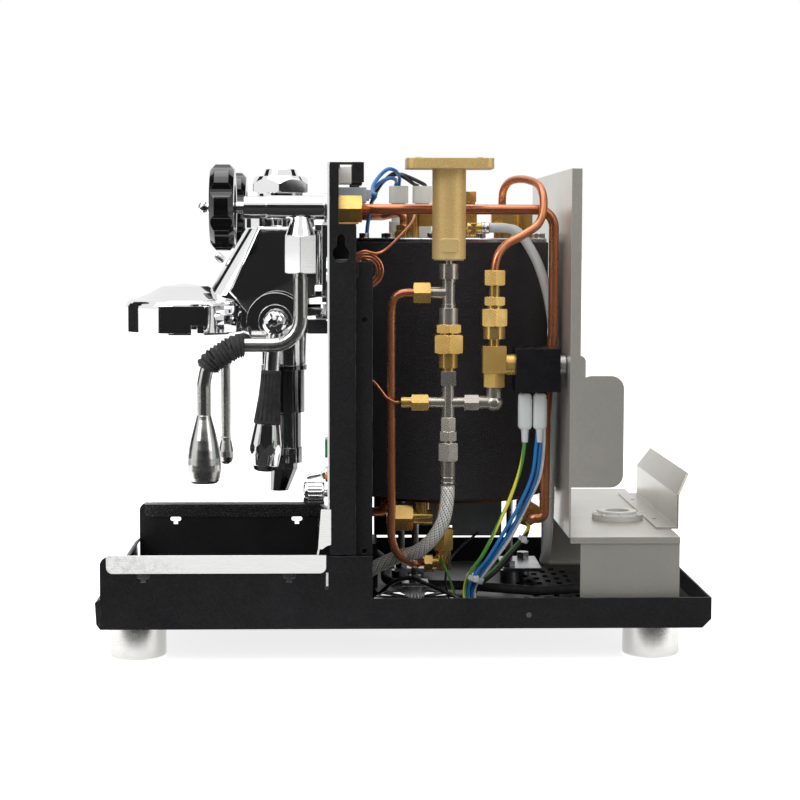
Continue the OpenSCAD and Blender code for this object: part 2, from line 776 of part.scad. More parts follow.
// Translucent covers over the heater's and level probe's terminals
module terminal_boots() color("#d9d7cf") on_feet() {
  translate([0, 0, lid_top_h]) {
    for (y = [0, 20])
      translate([boot_x, boot_y + y, 0]) {
        turned([[8.2, 14], [6, 15.5]]);
        translate([0, 0, 29.5]) linear_extrude(boot_top - 29.5) round_square([20, 16], 2.5);
      }
  }
}

// ---------- Valve columns ----------

module column_a(h) translate([column_x, column_a_y, h]) children();
module column_b(h) translate([column_x, column_b_y, h]) children();

// Brass expansion valve under its wide top flange
module expansion_valve() color("#cfab55") on_feet()
  column_a(valve_low_h) {
    turned([[12, 1], [13.2, 70]]);
    translate([0, 0, 71]) linear_extrude(valve_top_h - valve_low_h - 71) round_square([46, 68], 7);
    // Low square pad on the outer side of the barrel
    translate([9, 0, 11.5]) along_x() linear_extrude(5) round_square([10.5, 15.5], 2.5);
    for (y = [-24, 24])
      translate([0, y, valve_top_h - valve_low_h]) cylinder(r = 2.6, h = 1.4, $fn = 48);
  }

module nickel_tee() color("#bcb9ae") on_feet()
  column_a(tee_low_h) {
    turned([[7.5, 12.8], [5.5, 3], [5, 17], [5.5, 2.6], [7.5, 12], [3.2, valve_low_h - tee_low_h - 47.4]]);
    translate([0, 0, tee_port_h - tee_low_h]) to_front() turned([[4.6, 14.3]]);
  }

// Both spring check valves, nickel hexagons with brass barrels
module check_valves() color("#c9a64f") on_feet() {
  column_a(cross_h + 24.5) {
    cylinder(r = 5, h = 3);
    translate([0, 0, 2.7]) cylinder(r = 7.5, h = 11.3);
    translate([0, 0, 14]) hex_nut(22, 15);
    translate([0, 0, 29]) cylinder(r = 6, h = 1);
    translate([0, 0, 30]) hex_nut(19, tee_low_h - cross_h - 54.5);
  }
  column_b(coil_h + 20.9) {
    translate([0, 0, -2.3]) cylinder(r = 4.2, h = 5.5);
    translate([0, 0, 3.2]) cylinder(r = 8.7, h = 9.8);
    translate([0, 0, 13]) hex_nut(19.5, 14);
    translate([0, 0, 27]) cylinder(r = 6, h = 2.4);
    translate([0, 0, 29.4]) hex_nut(16, 7);
    translate([0, 0, 36.4]) cylinder(r = 4, h = 8.8);
  }
}

// Nickel cross between hose, check valve, gauge and fill valve
module nickel_cross() color("#bebbb1") on_feet() {
  column_a(cross_h) {
    translate([0, 0, -13.5]) turned([[5, 27]]);
    translate([-5.8, -5.8, 13.5]) cube([11.6, 11.6, 11]);
    translate([0, 5, 0]) to_front() cylinder(r = 4.2, h = 5 + cross_left);
    translate([0, -5, 0]) to_rear() cylinder(r = 4.2, h = 5 + cross_right);
    translate([0, 0, -22.8]) hex_nut(11.2, 11);
    translate([0, 0, -30.6]) hex_nut(13, 7.8);
  }
  // Hose's crimped sleeve and its swivel nut
  column_a(hose_top_h) {
    turned([[5.9, 19.5]]);
    translate([0, 0, 19.5]) hex_nut(15, 14.5);
    translate([0, 0, 34]) cylinder(r = 4.5, h = cross_h - 30.6 - hose_top_h - 34);
  }
  // Union and elbow that lead over to the fill valve
  translate([column_x, column_a_y + cross_right, cross_h]) {
    to_rear() hex_nut(12, 11.5);
    translate([0, 11.5, 0]) to_rear() cylinder(r = 5.2, h = column_b_y - column_a_y - cross_right - 11.5);
  }
  column_b(cross_h) {
    sphere(r = 7);
    cylinder(r = 6, h = coil_h - 14 - cross_h);
  }
}

module solenoid_valve() color("#cda94f") on_feet()
  column_b(coil_h) {
    translate([-9.1, -9.1, -2.6]) cube([18.2, 18.2, 21.2]);
    translate([0, 0, -14]) hex_nut(16, 11.4);
    translate([0, 9.1, 3.8]) to_rear() turned([[8.3, 6.9], [5, 34.8], [7.4, 5.6]]);
  }

// Coil on the valve's stem, with two blades for its leads
module solenoid_coil() color("#141416") on_feet()
  column_b(coil_h + 3.8)
    difference() {
      union() {
        translate([-17, 16, -20.5]) cube([34, 34.8, 34]);
        for (y = [22, 34])
          translate([-3.2, y, -27]) cube([6.4, 8, 7]);
      }
      translate([0, 10, 0]) to_rear() cylinder(r = 5 + fit, h = 60);
    }

// Union nuts at the ends of the pipes
module pipe_nuts() color("#cba64e") on_feet() {
  // Behind the taps
  both_sides()
    translate([tap_x, frame_y + sheet, tap_h - 1]) to_rear() hex_nut(21, 24, pipe_d / 2 + 0.15);
  // Behind the group's two siphon unions
  for (h = [union_h, siphon_h])
    translate([0, frame_y + sheet, h]) to_rear() hex_nut(15, 5, pipe_d / 2 + 0.15);
  // Feed pipe: at the tee and at the exchanger elbow
  translate([column_x, column_a_y - 14.3, tee_port_h]) to_front() hex_nut(16, 13.6, feed_d / 2 + 0.15);
  translate([under_x + 4, boiler_y - 18, inlet_h]) to_front() hex_nut(13, 7, feed_d / 2 + 0.15);
  // Fill pipe: at the upper check valve and at the lid
  column_b(coil_h + 66.1) hex_nut(16, 12, feed_d / 2 + 0.15);
  // Gauge line at the cross
  translate([column_x, column_a_y - cross_left, cross_h]) to_front() {
    hex_nut(12.5, 13.5);
    translate([0, 0, 13.5]) cylinder(r = 4.4, h = 8);
  }
  // Steam and siphon pipes at the lid
  for (port = [port_siphon, port_steam])
    translate([port[0], boiler_y + port[1], lid_top_h + 6]) hex_nut(14, 5, pipe_d / 2 + 0.15);
  translate([port_fill[0], boiler_y + port_fill[1], lid_top_h + fill_seat]) hex_nut(13, 6, feed_d / 2 + 0.15);
}

// ---------- Pipes, hoses and wires ----------

// Hot water pipe from the drum's outlet up behind the coil and forward to the tap
module hot_water_pipe() color("#b8704a") on_feet() {
  rear = column_b_y + 49.5;
  outlet_h = under_h + 3;
  swept(rounded([[tap_x, frame_y + sheet, tap_h - 1], [tap_x, panel_y + 60, tap_h - 1],
    [hot_pipe_x, rear, tap_h - 1], [hot_pipe_x, rear, coil_h + 30],
    [hot_pipe_x, rear - 5.5, coil_h - 40], [hot_pipe_x, rear - 6, outlet_h],
    [hot_pipe_x, boiler_y + hot_out_y, outlet_h], [hot_out_x, boiler_y + hot_out_y, outlet_h]], 12, 4),
    pipe_d, 14);
}

// Steam pipe from the lid forward to the tap on the other side
module steam_pipe() color("#b8704a") on_feet()
  swept(rounded([[port_steam[0], boiler_y + port_steam[1], lid_top_h + 6],
    [port_steam[0], boiler_y + port_steam[1], tap_h - 1], [-tap_x, boiler_y + port_steam[1] - 12, tap_h - 1],
    [-tap_x, frame_y + sheet, tap_h - 1]], 10, 4), pipe_d, 14);

// Feed pipe down to the heat exchanger, and the boiler's looped fill pipe
module feed_pipes() color("#bb7550") on_feet() {
  feed_y = column_a_y - 44;
  inlet_x = under_x + 4;
  swept(rounded([[column_x, column_a_y - 14.3, tee_port_h], [column_x, feed_y - 1, tee_port_h],
    [column_x - 2, feed_y - 1, 215], [column_x - 8, feed_y, 110], [column_x - 13, feed_y - 1, 62],
    [column_x - 15, feed_y + 6, 46], [column_x - 24, feed_y + 18, 39],
    [inlet_x, boiler_y - 32.5, inlet_h], [inlet_x, boiler_y - 18, inlet_h]], 16, 3), feed_d, 10);
  fill_x = port_fill[0];
  fill_y = boiler_y + port_fill[1];
  swept(rounded([[column_x, column_b_y, coil_h + 66.1], [column_x, column_b_y, coil_h + 86],
    [column_x - 3, column_b_y + 7, 296], [column_x - 8, column_b_y + 24, 306],
    [column_x - 14, column_b_y + 36, 314], [column_x - 16, column_b_y + 39, 326],
    [column_x - 22, column_b_y + 41, 337], [column_x - 36, column_b_y + 38, 346],
    [column_x - 54, column_b_y + 29, 351], [fill_x + 25, fill_y + 6, 350], [fill_x + 8, fill_y, 343],
    [fill_x, fill_y, 334], [fill_x, fill_y, lid_top_h + fill_seat]], 12, 2), feed_d, 10);
}

// Siphon pipes between the boiler and the group
module thermosiphon_pipes() color("#b8704a") on_feet() {
  swept(rounded([[port_siphon[0], siphon_y, lid_top_h + 6], [port_siphon[0], siphon_y, siphon_h + 4],
    [0, siphon_y - 18, siphon_h], [0, frame_y + sheet, siphon_h]], 6, 4), pipe_d, 12);
  low_y = panel_y + 13.6;
  swept(rounded([[0, frame_y + sheet, union_h], [0, low_y, union_h], [0, low_y, jacket_low_h - 20],
    [0, boiler_y - 55, jacket_low_h - 20], [0, boiler_y - 55, jacket_low_h - 3]], 5, 4), pipe_d, 12);
}

// Fine capillaries from the gauges, one of them wound into a coil
module capillaries() color("#c07a52") on_feet() {
  capillary_d = 2.4;
  coil_turns = 3;
  gauge_back = frame_y + sheet + 24;
  coil_y = panel_y + 30;
  cross_end = column_a_y - cross_left - 21.5;
  plug_y = boiler_y + port_plug[1];
  wound = 360 * coil_turns;
  winding = [for (a = [0:30:wound]) let (r = 11 + 3 * a / wound)
    [column_x - 5 + 8 * a / wound, coil_y + r * sin(a), 278 + r * cos(a)]];
  swept(concat(
    rounded([[gauge_x, gauge_back, gauge_h], [gauge_x, gauge_back + 6, gauge_h],
      [column_x - 24, coil_y - 2, 289], winding[0]], 6, 2),
    [for (i = [1:len(winding) - 2]) winding[i]],
    rounded([winding[len(winding) - 1], [column_x, coil_y + 15, 294], [column_x - 16, coil_y + 24, 300],
      [column_x - 46, coil_y + 38, 316], [port_plug[0] + 12, plug_y, 330],
      [port_plug[0], plug_y, lid_top_h + 27], [port_plug[0], plug_y, lid_top_h + 20.5]], 6, 2)),
    capillary_d, 6);
  swept(rounded([[-gauge_x, gauge_back, gauge_h], [-gauge_x, gauge_back + 4, gauge_h],
    [-gauge_x, gauge_back + 4, gauge_h - 32], [-gauge_x + 8, panel_y + 6, 214], [40, panel_y + 6, 214],
    [column_x - 8, panel_y + 24, 200], [column_x - 1, panel_y + 38, 189],
    [column_x, panel_y + 46, cross_h + 4], [column_x, cross_end - 5.5, cross_h],
    [column_x, cross_end, cross_h]], 8, 2), capillary_d, 6);
}

// Braided steel hose from the pump up to the cross
module braided_hose() color("#c3c3c3") on_feet()
  swept(rounded([[column_x, column_a_y, hose_top_h], [column_x, column_a_y, hose_top_h - 11],
    [column_x - 2, column_a_y - 3.5, 78], [column_x - 9, column_a_y - 13, 63],
    [column_x - 21, column_a_y - 24, 51], [column_x - 36, column_a_y - 40, 45.5],
    [pump_x + 34, pump_y + 17, 38], [pump_x + 30, pump_y + 4, 29], [pump_x + 26, pump_y, pump_h],
    [pump_x + 14, pump_y, pump_h]], 20, 3), braid_d, 14);

// Milky silicone tubes: the vent line and the tank's supply line
module silicone_hoses() color("#dcdcd4") on_feet() {
  vent_x = port_vent[0];
  vent_y = boiler_y + port_vent[1] + 13;
  drop_x = min(88, hot_pipe_x - 10);
  drop_y = wall_y - 7;
  swept(rounded([[vent_x, vent_y, vent_h], [vent_x, vent_y + 5, vent_h], [52, boiler_y + 44, 311],
    [min(63, drop_x - 18), boiler_y + 50, 310], [drop_x - 15, boiler_y + 55, 298],
    [drop_x - 4, boiler_y + 67, 266], [drop_x, drop_y, 238], [drop_x, drop_y, 205],
    [drop_x - 6, drop_y, 132], [drop_x - 10, drop_y, 98], [drop_x - 18, drop_y, 72], [60, drop_y, 50],
    [40, drop_y, 34]], 24, 2), silicone_d, 10);
  swept(rounded([[coupling_x, coupling_y, wall_low_h - 30], [coupling_x, coupling_y, 14],
    [coupling_x - 10, wall_y - 12, 8], [10, boiler_y + 10, 8], [0, pump_y + 32, 8],
    [-14, pump_y + 26.5, 10], [-pump_x - 18, pump_y + 26.5, pump_h - 8], [-pump_x - 26, pump_y + 12, pump_h],
    [-pump_x - 24, pump_y, pump_h], [-pump_x - 10, pump_y, pump_h]], 20, 3), silicone_d, 10);
}

// Vibration pump on its rubber mounts
module pump() color("#2b2c2e") on_feet()
  translate([0, pump_y, pump_h]) {
    translate([-38, -19, -19]) cube([56, 38, 38]);
    translate([-pump_x, 0, 0]) along_x() cylinder(r = 13, h = 2 * pump_x - 8);
    translate([-pump_x - 10, 0, 0]) along_x() cylinder(r = silicone_d / 2 - 0.5, h = 12);
    translate([pump_x - 9, 0, 0]) along_x() hex_nut(17, 12);
    translate([pump_x + 3, 0, 0]) along_x() cylinder(r = braid_d / 2, h = 11);
    // Rubber mounts on the floor
    for (x = [-46, 26])
      translate([x - 3, -10, floor_h - pump_h]) cube([6, 20, pump_h - floor_h - 8]);
  }

// Leads of the fill valve, the pump and the boiler's terminals
module wiring() color("#2f6fb5") on_feet() {
  lead_d = 2.6;
  blade_y = column_b_y + 25;
  lead_ys = [0, 11, 14];
  for (i = [0:2])
    swept(rounded([[column_x, blade_y + lead_ys[i], coil_h - 23.2],
      [column_x, blade_y + lead_ys[i], coil_h - 31], [column_x + 1, blade_y + 3 + 3.4 * i, coil_h - 62],
      [column_x - 2, blade_y - 2 + 3.4 * i, coil_h - 88],
      [column_x - 4, blade_y - 11 + 3 * i, 80], [column_x - 8, blade_y - 24 + 3 * i, 50],
      [column_x - 14, blade_y - 38 + 3 * i, 28], [column_x - 18, blade_y - 42 + 3 * i, 8]], 30, 2),
      lead_d, 8);
  // Black lead along the floor to the pump
  swept(rounded([[column_x - 20, blade_y - 50, 8], [column_x - 14, boiler_y - 22, 22],
    [column_x - 26, boiler_y - 36, 31], [column_x - 30, boiler_y - 62, 26], [70, pump_y + 24, 12],
    [30, pump_y + 12, 5], [10, pump_y + 14, pump_h - 21]], 16, 2), 3.4, 8);
  // Leads over the top, from the electronics to the heater
  box_rear_y = frame_y + sheet + 32;
  boot_top_h = lid_top_h + boot_top;
  swept(rounded([[63, box_rear_y, 338.5], [63, box_rear_y + 6, 338.5], [52, boiler_y - 64, 352],
    [24, boiler_y - 54, 360], [boot_x, boot_y, boot_top_h + 9], [boot_x, boot_y, boot_top_h]], 10, 2),
    3.2, 8);
  swept(rounded([[-37, box_rear_y, 338.5], [-37, box_rear_y + 6, 338.5], [-34, boiler_y - 58, 354],
    [boot_x - 6, boot_y + 12, 359], [boot_x, boot_y + 20, boot_top_h + 8], [boot_x, boot_y + 20, boot_top_h]],
    10, 2), 3.2, 8);
}

// ---------- Front panel fittings ----------

// Gauge cups that pass through the panel, with a bezel, a sunk dial and a pivot hole
module gauge_places()
  for (x = [-gauge_x, gauge_x])
    translate([x, panel_y - bezel_t, gauge_h]) to_rear() children();
module gauges() color("#d6d7d8") on_feet()
  gauge_places()
    difference() {
      union() {
        cylinder(r = gauge_r, h = bezel_t);
        cylinder(r = gauge_r - 1.7, h = gauge_len);
      }
      translate([0, 0, -1]) cylinder(r = gauge_r - 3, h = dial_depth + 1);
      cylinder(r = pivot_r + fit, h = dial_depth + 4);
    }

module gauge_glasses() color([0.85, 0.9, 0.92, 0.35]) on_feet()
  gauge_places()
    translate([0, 0, 0.6]) cylinder(r = gauge_r - 3, h = 1.4);

// A pointer on its own pivot, standing at zero
module needle(x) color("#1a1a1a") on_feet()
  translate([x, panel_y - bezel_t, gauge_h]) to_rear() {
    translate([0, 0, dial_depth - 3]) cylinder(r = 2.6, h = 2.4);
    translate([0, 0, dial_depth - 1]) cylinder(r = pivot_r, h = 4.5);
    rotate(135) translate([0, 0, dial_depth - 2])
      linear_extrude(0.8) polygon([[-5, -1.4], [17, -0.5], [17, 0.5], [-5, 1.4]]);
  }
module boiler_needle() needle(-gauge_x);
module pump_needle() needle(gauge_x);

// Temperature display, orange lamp and the collar that the toggle pivots in
module panel_controls() color("#3f8f55") on_feet() {
  translate([control_x, panel_y + 4, lamp_h])
    rotate([90, 0, 0]) {
      linear_extrude(6.2) square([17.6, 11.6], center = true);
      translate([0, 0, 4]) linear_extrude(2.2) round_square([21, 15], 1.5);
    }
  translate([control_x + 13, panel_y - 1.6, toggle_h]) to_rear() cylinder(r = 3, h = 1.6);
  translate([control_x, panel_y, toggle_h]) to_front()
    difference() {
      union() {
        hex_nut(12, 2);
        cylinder(r = 4.4, h = 4.4);
      }
      translate([0, 0, -1]) cylinder(r = toggle_ball_r + 0.1, h = 8);
    }
}

// Toggle lever with its pivot ball
module power_toggle() color("#cfd1d3") on_feet()
  translate([control_x, panel_y - 3.6, toggle_h]) {
    sphere(r = toggle_ball_r);
    rotate([90 + toggle_tilt, 0, 0])
      rotate_extrude()
        polygon([[0, 0], [1.5, 0], [2.2, 12], [1.9, 13.2], [1.2, 13.8], [0, 14]]);
  }

// Knurled selector knob on its spindle
module selector_knob() color("#d3d5d7") on_feet()
  translate([control_x, panel_y - 2.6, selector_h]) to_front() {
    difference() {
      rotate_extrude()
        polygon([[0, 0], [8.6, 0], [9.2, 0.8], [9.2, 15.6], [8.2, 16.8], [0, 16.8]]);
      for (i = [0:17])
        rotate(20 * i) translate([9.9, 0, 2]) cylinder(r = 1.2, h = 11, $fn = 24);
    }
    translate([0, 0, -8]) cylinder(r = 3, h = 9);
  }

// ---------- Group ----------

module group_body() color("#d8dadc") on_feet() {
  difference() {
    union() {
      // Bell and its shoulder
      translate([0, bell_y, bell_h])
        rotate_extrude()
          polygon([[0, 4], [bell_r - 2, 0], [bell_r, 1.5], [bell_r, bell_len - 8],
            for (a = [0:15:75]) [bell_r - 7 + 7 * cos(a), bell_len - 8 + 7 * sin(a)],
            [bell_r - 9, bell_len - 0.8], [30, bell_len + 4], [20, bell_len + 9.5], [0, bell_len + 12]]);
      // Slanted neck up to the valve chamber
      hull() {
        translate([0, bell_y + 40, bell_h + bell_len - 2]) cylinder(r = 22, h = 4, $fn = 32);
        translate([0, cap_y - 7, siphon_h - 12]) cylinder(r = 21, h = 3, $fn = 32);
      }
      hull() {
        translate([0, bell_y + 40, bell_h + 8]) cylinder(r = 16, h = 16, $fn = 32);
        translate([0, cam_y, cam_h - 14]) cylinder(r = 19, h = 30, $fn = 32);
      }
      translate([0, cap_y - 9, siphon_h - 11]) cylinder(r = 21, h = 12);
      translate([0, cap_y, cam_h]) cylinder(r = 19, h = cap_seat_h - cam_h);
      // Body back to the panel
      hull() {
        translate([-17, cap_y, cam_h + 20]) cube([34, 4, siphon_h - cam_h - 16]);
        translate([-14, panel_y - 9, cam_h + 26]) cube([28, 4, siphon_h - cam_h - 22]);
      }
      translate([0, panel_y - 5, (union_h + 24 + siphon_h - 8) / 2])
        to_rear() linear_extrude(5) round_square([66, 74], 10);
      // Cam box across the machine
      translate([-30, cam_y, cam_h]) along_x() cylinder(r = 21, h = 66);
      translate([36, cam_y, cam_h]) along_x() cylinder(r = 24, h = 3);
      translate([0, chamber_y, cam_h - 38]) cylinder(r = 19.5, h = 38);
      translate([0, panel_y - 5, siphon_h]) to_rear() cylinder(r = 6.8, h = frame_y + sheet - panel_y + 5);
      for (x = [-24, 24])
        for (h = [union_h + 24, siphon_h - 8])
          translate([x, panel_y - 11, h]) to_rear() hex_nut(10, 6);
    }
    // Portafilter socket with the seat of its seal above, then its entries for the lugs
    translate([0, bell_y, bell_h - 1]) {
      cylinder(r = socket_r, h = 1 + socket_len);
      cylinder(r = seal_r, h = 1 + screen_h - bell_h);
    }
    for (a = [0, 180])
      translate([0, bell_y, bell_h - 1]) rotate(a) {
        translate([socket_r - 6, -8, 0]) cube([10.5, 16, 10]);
        // Window that shows the lug from the side
        translate([socket_r - 2, 8.5, 0]) cube([20, 10, 9]);
      }
    // Bore of the cam shaft and its sunk face
    translate([24, cam_y, cam_h]) along_x() cylinder(r = hub_r + fit, h = 20);
    translate([37, cam_y, cam_h]) along_x() cylinder(r = 14, h = 4);
  }
  // Lower siphon union
  translate([0, cap_y + 22, union_h]) to_rear() hex_nut(25, panel_y - cap_y - 22);
  translate([0, chamber_y + 8, union_h]) to_rear() cylinder(r = 8, h = cap_y + 22 - chamber_y - 8);
  translate([0, panel_y, union_h]) to_rear() cylinder(r = 6.8, h = frame_y + sheet - panel_y);
}

// Mushroom cap: a hexagon under a cone with a flat top
module group_cap() color("#dcdee0") on_feet()
  translate([0, cap_y, cap_seat_h])
    union() {
      intersection() {
        cylinder(r = 45.6 / sqrt(3), h = 14, $fn = 6);
        rotate_extrude() polygon([[0, 0], [24.6, 0], [26, 1], [26, 7.5], [21, 14], [0, 14]]);
      }
      cylinder(r1 = 20.6, r2 = 13, h = 20);
    }

// Lower chamber with its collar, steps and faceted drain
module group_chamber() color("#d4d6d8") on_feet() {
  top_h = cam_h - 38;
  translate([0, chamber_y, 0]) {
    translate([0, 0, top_h - 4]) cylinder(r = 19.7, h = 4);
    translate([0, 0, 156]) cylinder(r = 17.6, h = top_h - 160);
    translate([0, 0, 126]) cylinder(r = 14.7, h = 30);
    translate([0, 0, 113]) cylinder(r = 15.5, h = 13);
    difference() {
      hull() {
        translate([0, 0, 108]) cylinder(r = 11.5, h = 5, $fn = 8);
        translate([0, -4, 89]) cylinder(r = 7.6, h = 1, $fn = 8);
      }
      translate([0, -4, 88]) cylinder(r = 4, h = 8, $fn = 32);
    }
  }
}

// Screen that spreads the water, and its clamped seal
module shower_screen() color("#c9cbcc") on_feet()
  translate([0, bell_y, screen_h - 3.5]) {
    difference() {
      cylinder(r = 29, h = 3.5);
      for (i = [0:3])
        for (k = [0:i * 6])
          rotate(k * 360 / max(1, i * 6)) translate([i * 7, 0, -1]) cylinder(r = 1, h = 3, $fn = 16);
    }
    ring(seal_r - clear, 29.6, 3.5);
  }

// ---------- Taps ----------

// Both taps: valve body, bonnet, ball nut and its cone
module tap_bodies() color("#d6d8da") on_feet()
  both_sides() translate([tap_x, 0, tap_h]) {
    difference() {
      union() {
        translate([0, panel_y, 0]) to_front() turned([[9.5, 48], [8.8, 18]]);
        translate([0, panel_y, 0]) to_rear() cylinder(r = 7.8, h = frame_y + sheet - panel_y);
        translate([0, panel_y - 0.6, 0]) to_front() cylinder(r = 11.5, h = 2);
        translate([0, nut_y, -22]) cylinder(r1 = 12, r2 = 6.5, h = 16);
      }
      translate([0, panel_y - 67, 0]) to_rear() cylinder(r = 4.5 + fit, h = 24);
    }
    translate([0, nut_y, -52]) difference() {
      hex_nut(24.4, 30);
      translate([0, 0, -1]) cylinder(r = 8.2, h = 10);
      translate([0, 0, 6.8]) cylinder(r = ball_r + clear, h = 24);
    }
  }

// Spindle with the cap nut that holds the knob
module tap_spindle(x) color("#d2d4d6") on_feet()
  translate([x, knob_y, tap_h]) {
    translate([0, 27, 0]) to_front() cylinder(r = 4.5, h = 27);
    to_front() cylinder(r = 3, h = 20);
    translate([0, -19, 0]) to_front()
      rotate_extrude()
        polygon([[0, 0], [6, 0], [6, 1.5], [3.4, 2.6], [3.6, 4],
          for (a = [-40:20:80]) [4.6 * cos(a), 6 + 4.2 * sin(a)], [0, 10.2]]);
  }

// Wavy knob with a lobe for each finger
module tap_knob(x) color("#101012") on_feet()
  translate([x, knob_y, tap_h]) to_front()
    difference() {
      intersection() {
        linear_extrude(19)
          difference() {
            circle(knob_d / 2);
            for (i = [0:lobes - 1])
              rotate(360 / lobes * (i + 0.5)) translate([knob_d / 2 + 7, 0]) circle(10, $fn = 64);
          }
        rotate_extrude()
          polygon([[0, 0], [knob_d / 2 - 4, 0], [knob_d / 2, 4], [knob_d / 2, 15],
            [knob_d / 2 - 4, 19], [0, 19]]);
      }
      translate([0, 0, -1]) cylinder(r = 3 + 0.02, h = 30);
      translate([0, 0, -1]) cylinder(r = 18, h = 3.5);
    }

// Ring that lets a wand's ball turn under the tap
module wand_seat(x) color("#f0efe8") on_feet()
  translate([x, nut_y, nut_low_h + 21.2]) ring(ball_r, 6.4, 8.7);

// Rounded run of a wand's tube
function wand_run(x, reach, low_h) = rounded([[x, nut_y, nut_low_h - 3], [x, nut_y, reach_h],
  [x, nut_y - reach + 26, reach_h], [x, nut_y - reach + 3, grip_low_h + 2],
  [x, nut_y - reach, grip_low_h - 14], [x, nut_y - reach, low_h]], 22, wand_steps);
module wand_tube(x, reach, d, low_h) {
  swept(wand_run(x, reach, low_h), d, 16);
  translate([x, nut_y, ball_h]) sphere(r = ball_r - 0.1);
  translate([x, nut_y, nut_low_h - 3]) cylinder(r = 4.6, h = 12);
}

module hot_water_wand() color("#c3c3bd") on_feet() {
  wand_tube(tap_x, wand_reach, wand_d, 160);
  // Bulb with the outlet
  translate([tap_x, nut_y - wand_reach, 108])
    difference() {
      rotate_extrude()
        polygon([[0, 0], [10, 0], [12, 2], [12.7, 5], [13.5, 10], [13.6, 15], [13.2, 20.5], [12.3, 27],
          [10.8, 34.7], [8.6, 43], [6.4, 51], [5.9, 54], [0, 54]]);
      translate([0, 0, -1]) cylinder(r = 7, h = 9);
    }
}

module steam_wand() color("#c3c3bd") on_feet() {
  wand_tube(-tap_x, steam_reach, wand_d - 2, 124);
  // Tip with its steam holes
  translate([-tap_x, nut_y - steam_reach, 99])
    difference() {
      rotate_extrude()
        polygon([[0, 0], [3, 0.6], [6, 3], [7.2, 7], [7, 12], [5, 22], [5, 25], [0, 25]]);
      for (i = [0:3])
        rotate(90 * i) translate([4, 0, -1]) cylinder(r = 0.8, h = 5, $fn = 16);
    }
}

// Ribbed rubber sleeve over a wand's upper bend
module wand_grip(x, reach, d) color("#35353a") on_feet() {
  run = wand_run(x, reach, 160);
  // Leaves out the tube's own first bend and its lower end
  first = 1 + wand_steps + 1;
  covered = [for (i = [first:first + wand_steps + 4]) run[i]];
  sleeve(covered, [for (i = [0:len(covered) - 1]) d / 2 + (i % 2 == 0 ? 4.6 : 3)], d / 2 + 0.5, 16);
}
module hot_water_grip() wand_grip(tap_x, wand_reach, wand_d);
module steam_grip() wand_grip(-tap_x, steam_reach, wand_d - 2);
module hot_water_seat() wand_seat(tap_x);
module steam_seat() wand_seat(-tap_x);
module hot_water_knob() tap_knob(tap_x);
module steam_knob() tap_knob(-tap_x);
module hot_water_spindle() tap_spindle(tap_x);
module steam_spindle() tap_spindle(-tap_x);

// ---------- Brew lever ----------

module at_lever() translate([lever_x, cam_y, cam_h]) rotate([-lever_lean, 0, 0]) children();
module brew_lever() color("#d9dbdd") on_feet() {
  // Cam shaft with its domed end
  translate([25, cam_y, cam_h]) along_x() cylinder(r = hub_r, h = lever_x - 25);
  translate([lever_x, cam_y, cam_h]) along_x()
    rotate_extrude()
      polygon([[0, 0], [hub_r + 1, 0], [hub_r + 1, 3],
        for (a = [0:15:75]) [(hub_r + 1) * cos(a), 3 + 7 * sin(a)], [0, 10]]);
  at_lever() {
    translate([0, 0, -grip_top - grip_len - 1]) cylinder(r = 6.2, h = grip_top + grip_len + 1);
    // Faceted end piece
    translate([0, 0, -grip_top - grip_len - 39])
      intersection() {
        cylinder(r = 13.6, h = 39, $fn = 10);
        rotate_extrude()
          polygon([[0, 0], [6, 0], [9.5, 1.6], [11.6, 5], [13.4, 17], [13.4, 20], [10.4, 39], [0, 39]]);
      }
  }
}

// Fluted rubber grip over the lever's stem
module lever_grip() color("#2a2a2c") on_feet()
  at_lever()
    translate([0, 0, -grip_top - grip_len])
      difference() {
        rotate_extrude()
          polygon([[6.25, 0], [10.9, 0], [11.3, 1.2], [10.2, 10], [8.9, 22], [8.2, 34],
            [8.2, grip_len - 1], [7.7, grip_len], [6.25, grip_len]]);
        for (i = [0:15])
          rotate(22.5 * i) translate([11.2, 0, 3]) rotate([0, -4.4, 0])
            cylinder(r = 1.1, h = grip_len - 6, $fn = 16);
      }

base_pan();
bay_trims();
feet();
foot_pads();
foot_nuts();
front_panel();
front_frame();
frame_columns();
control_box();
tank_wall();
tank_bridge();
tank_guide();
tank_coupling();
boiler_vessel();
boiler_jacket();
boiler_lid();
boiler_legs();
heating_element();
boiler_fittings();
terminal_boots();
expansion_valve();
nickel_tee();
check_valves();
nickel_cross();
braided_hose();
solenoid_valve();
solenoid_coil();
pipe_nuts();
hot_water_pipe();
steam_pipe();
feed_pipes();
thermosiphon_pipes();
capillaries();
silicone_hoses();
pump();
wiring();
gauges();
gauge_glasses();
panel_controls();
group_body();
group_cap();
group_chamber();
shower_screen();
tap_bodies();
hot_water_spindle();
hot_water_knob();
hot_water_seat();
hot_water_wand();
hot_water_grip();
steam_spindle();
steam_knob();
steam_seat();
steam_wand();
steam_grip();
brew_lever();
lever_grip();
power_toggle();
selector_knob();
boiler_needle();
pump_needle();
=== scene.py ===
import math

import bmesh
import bpy
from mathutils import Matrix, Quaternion, Vector


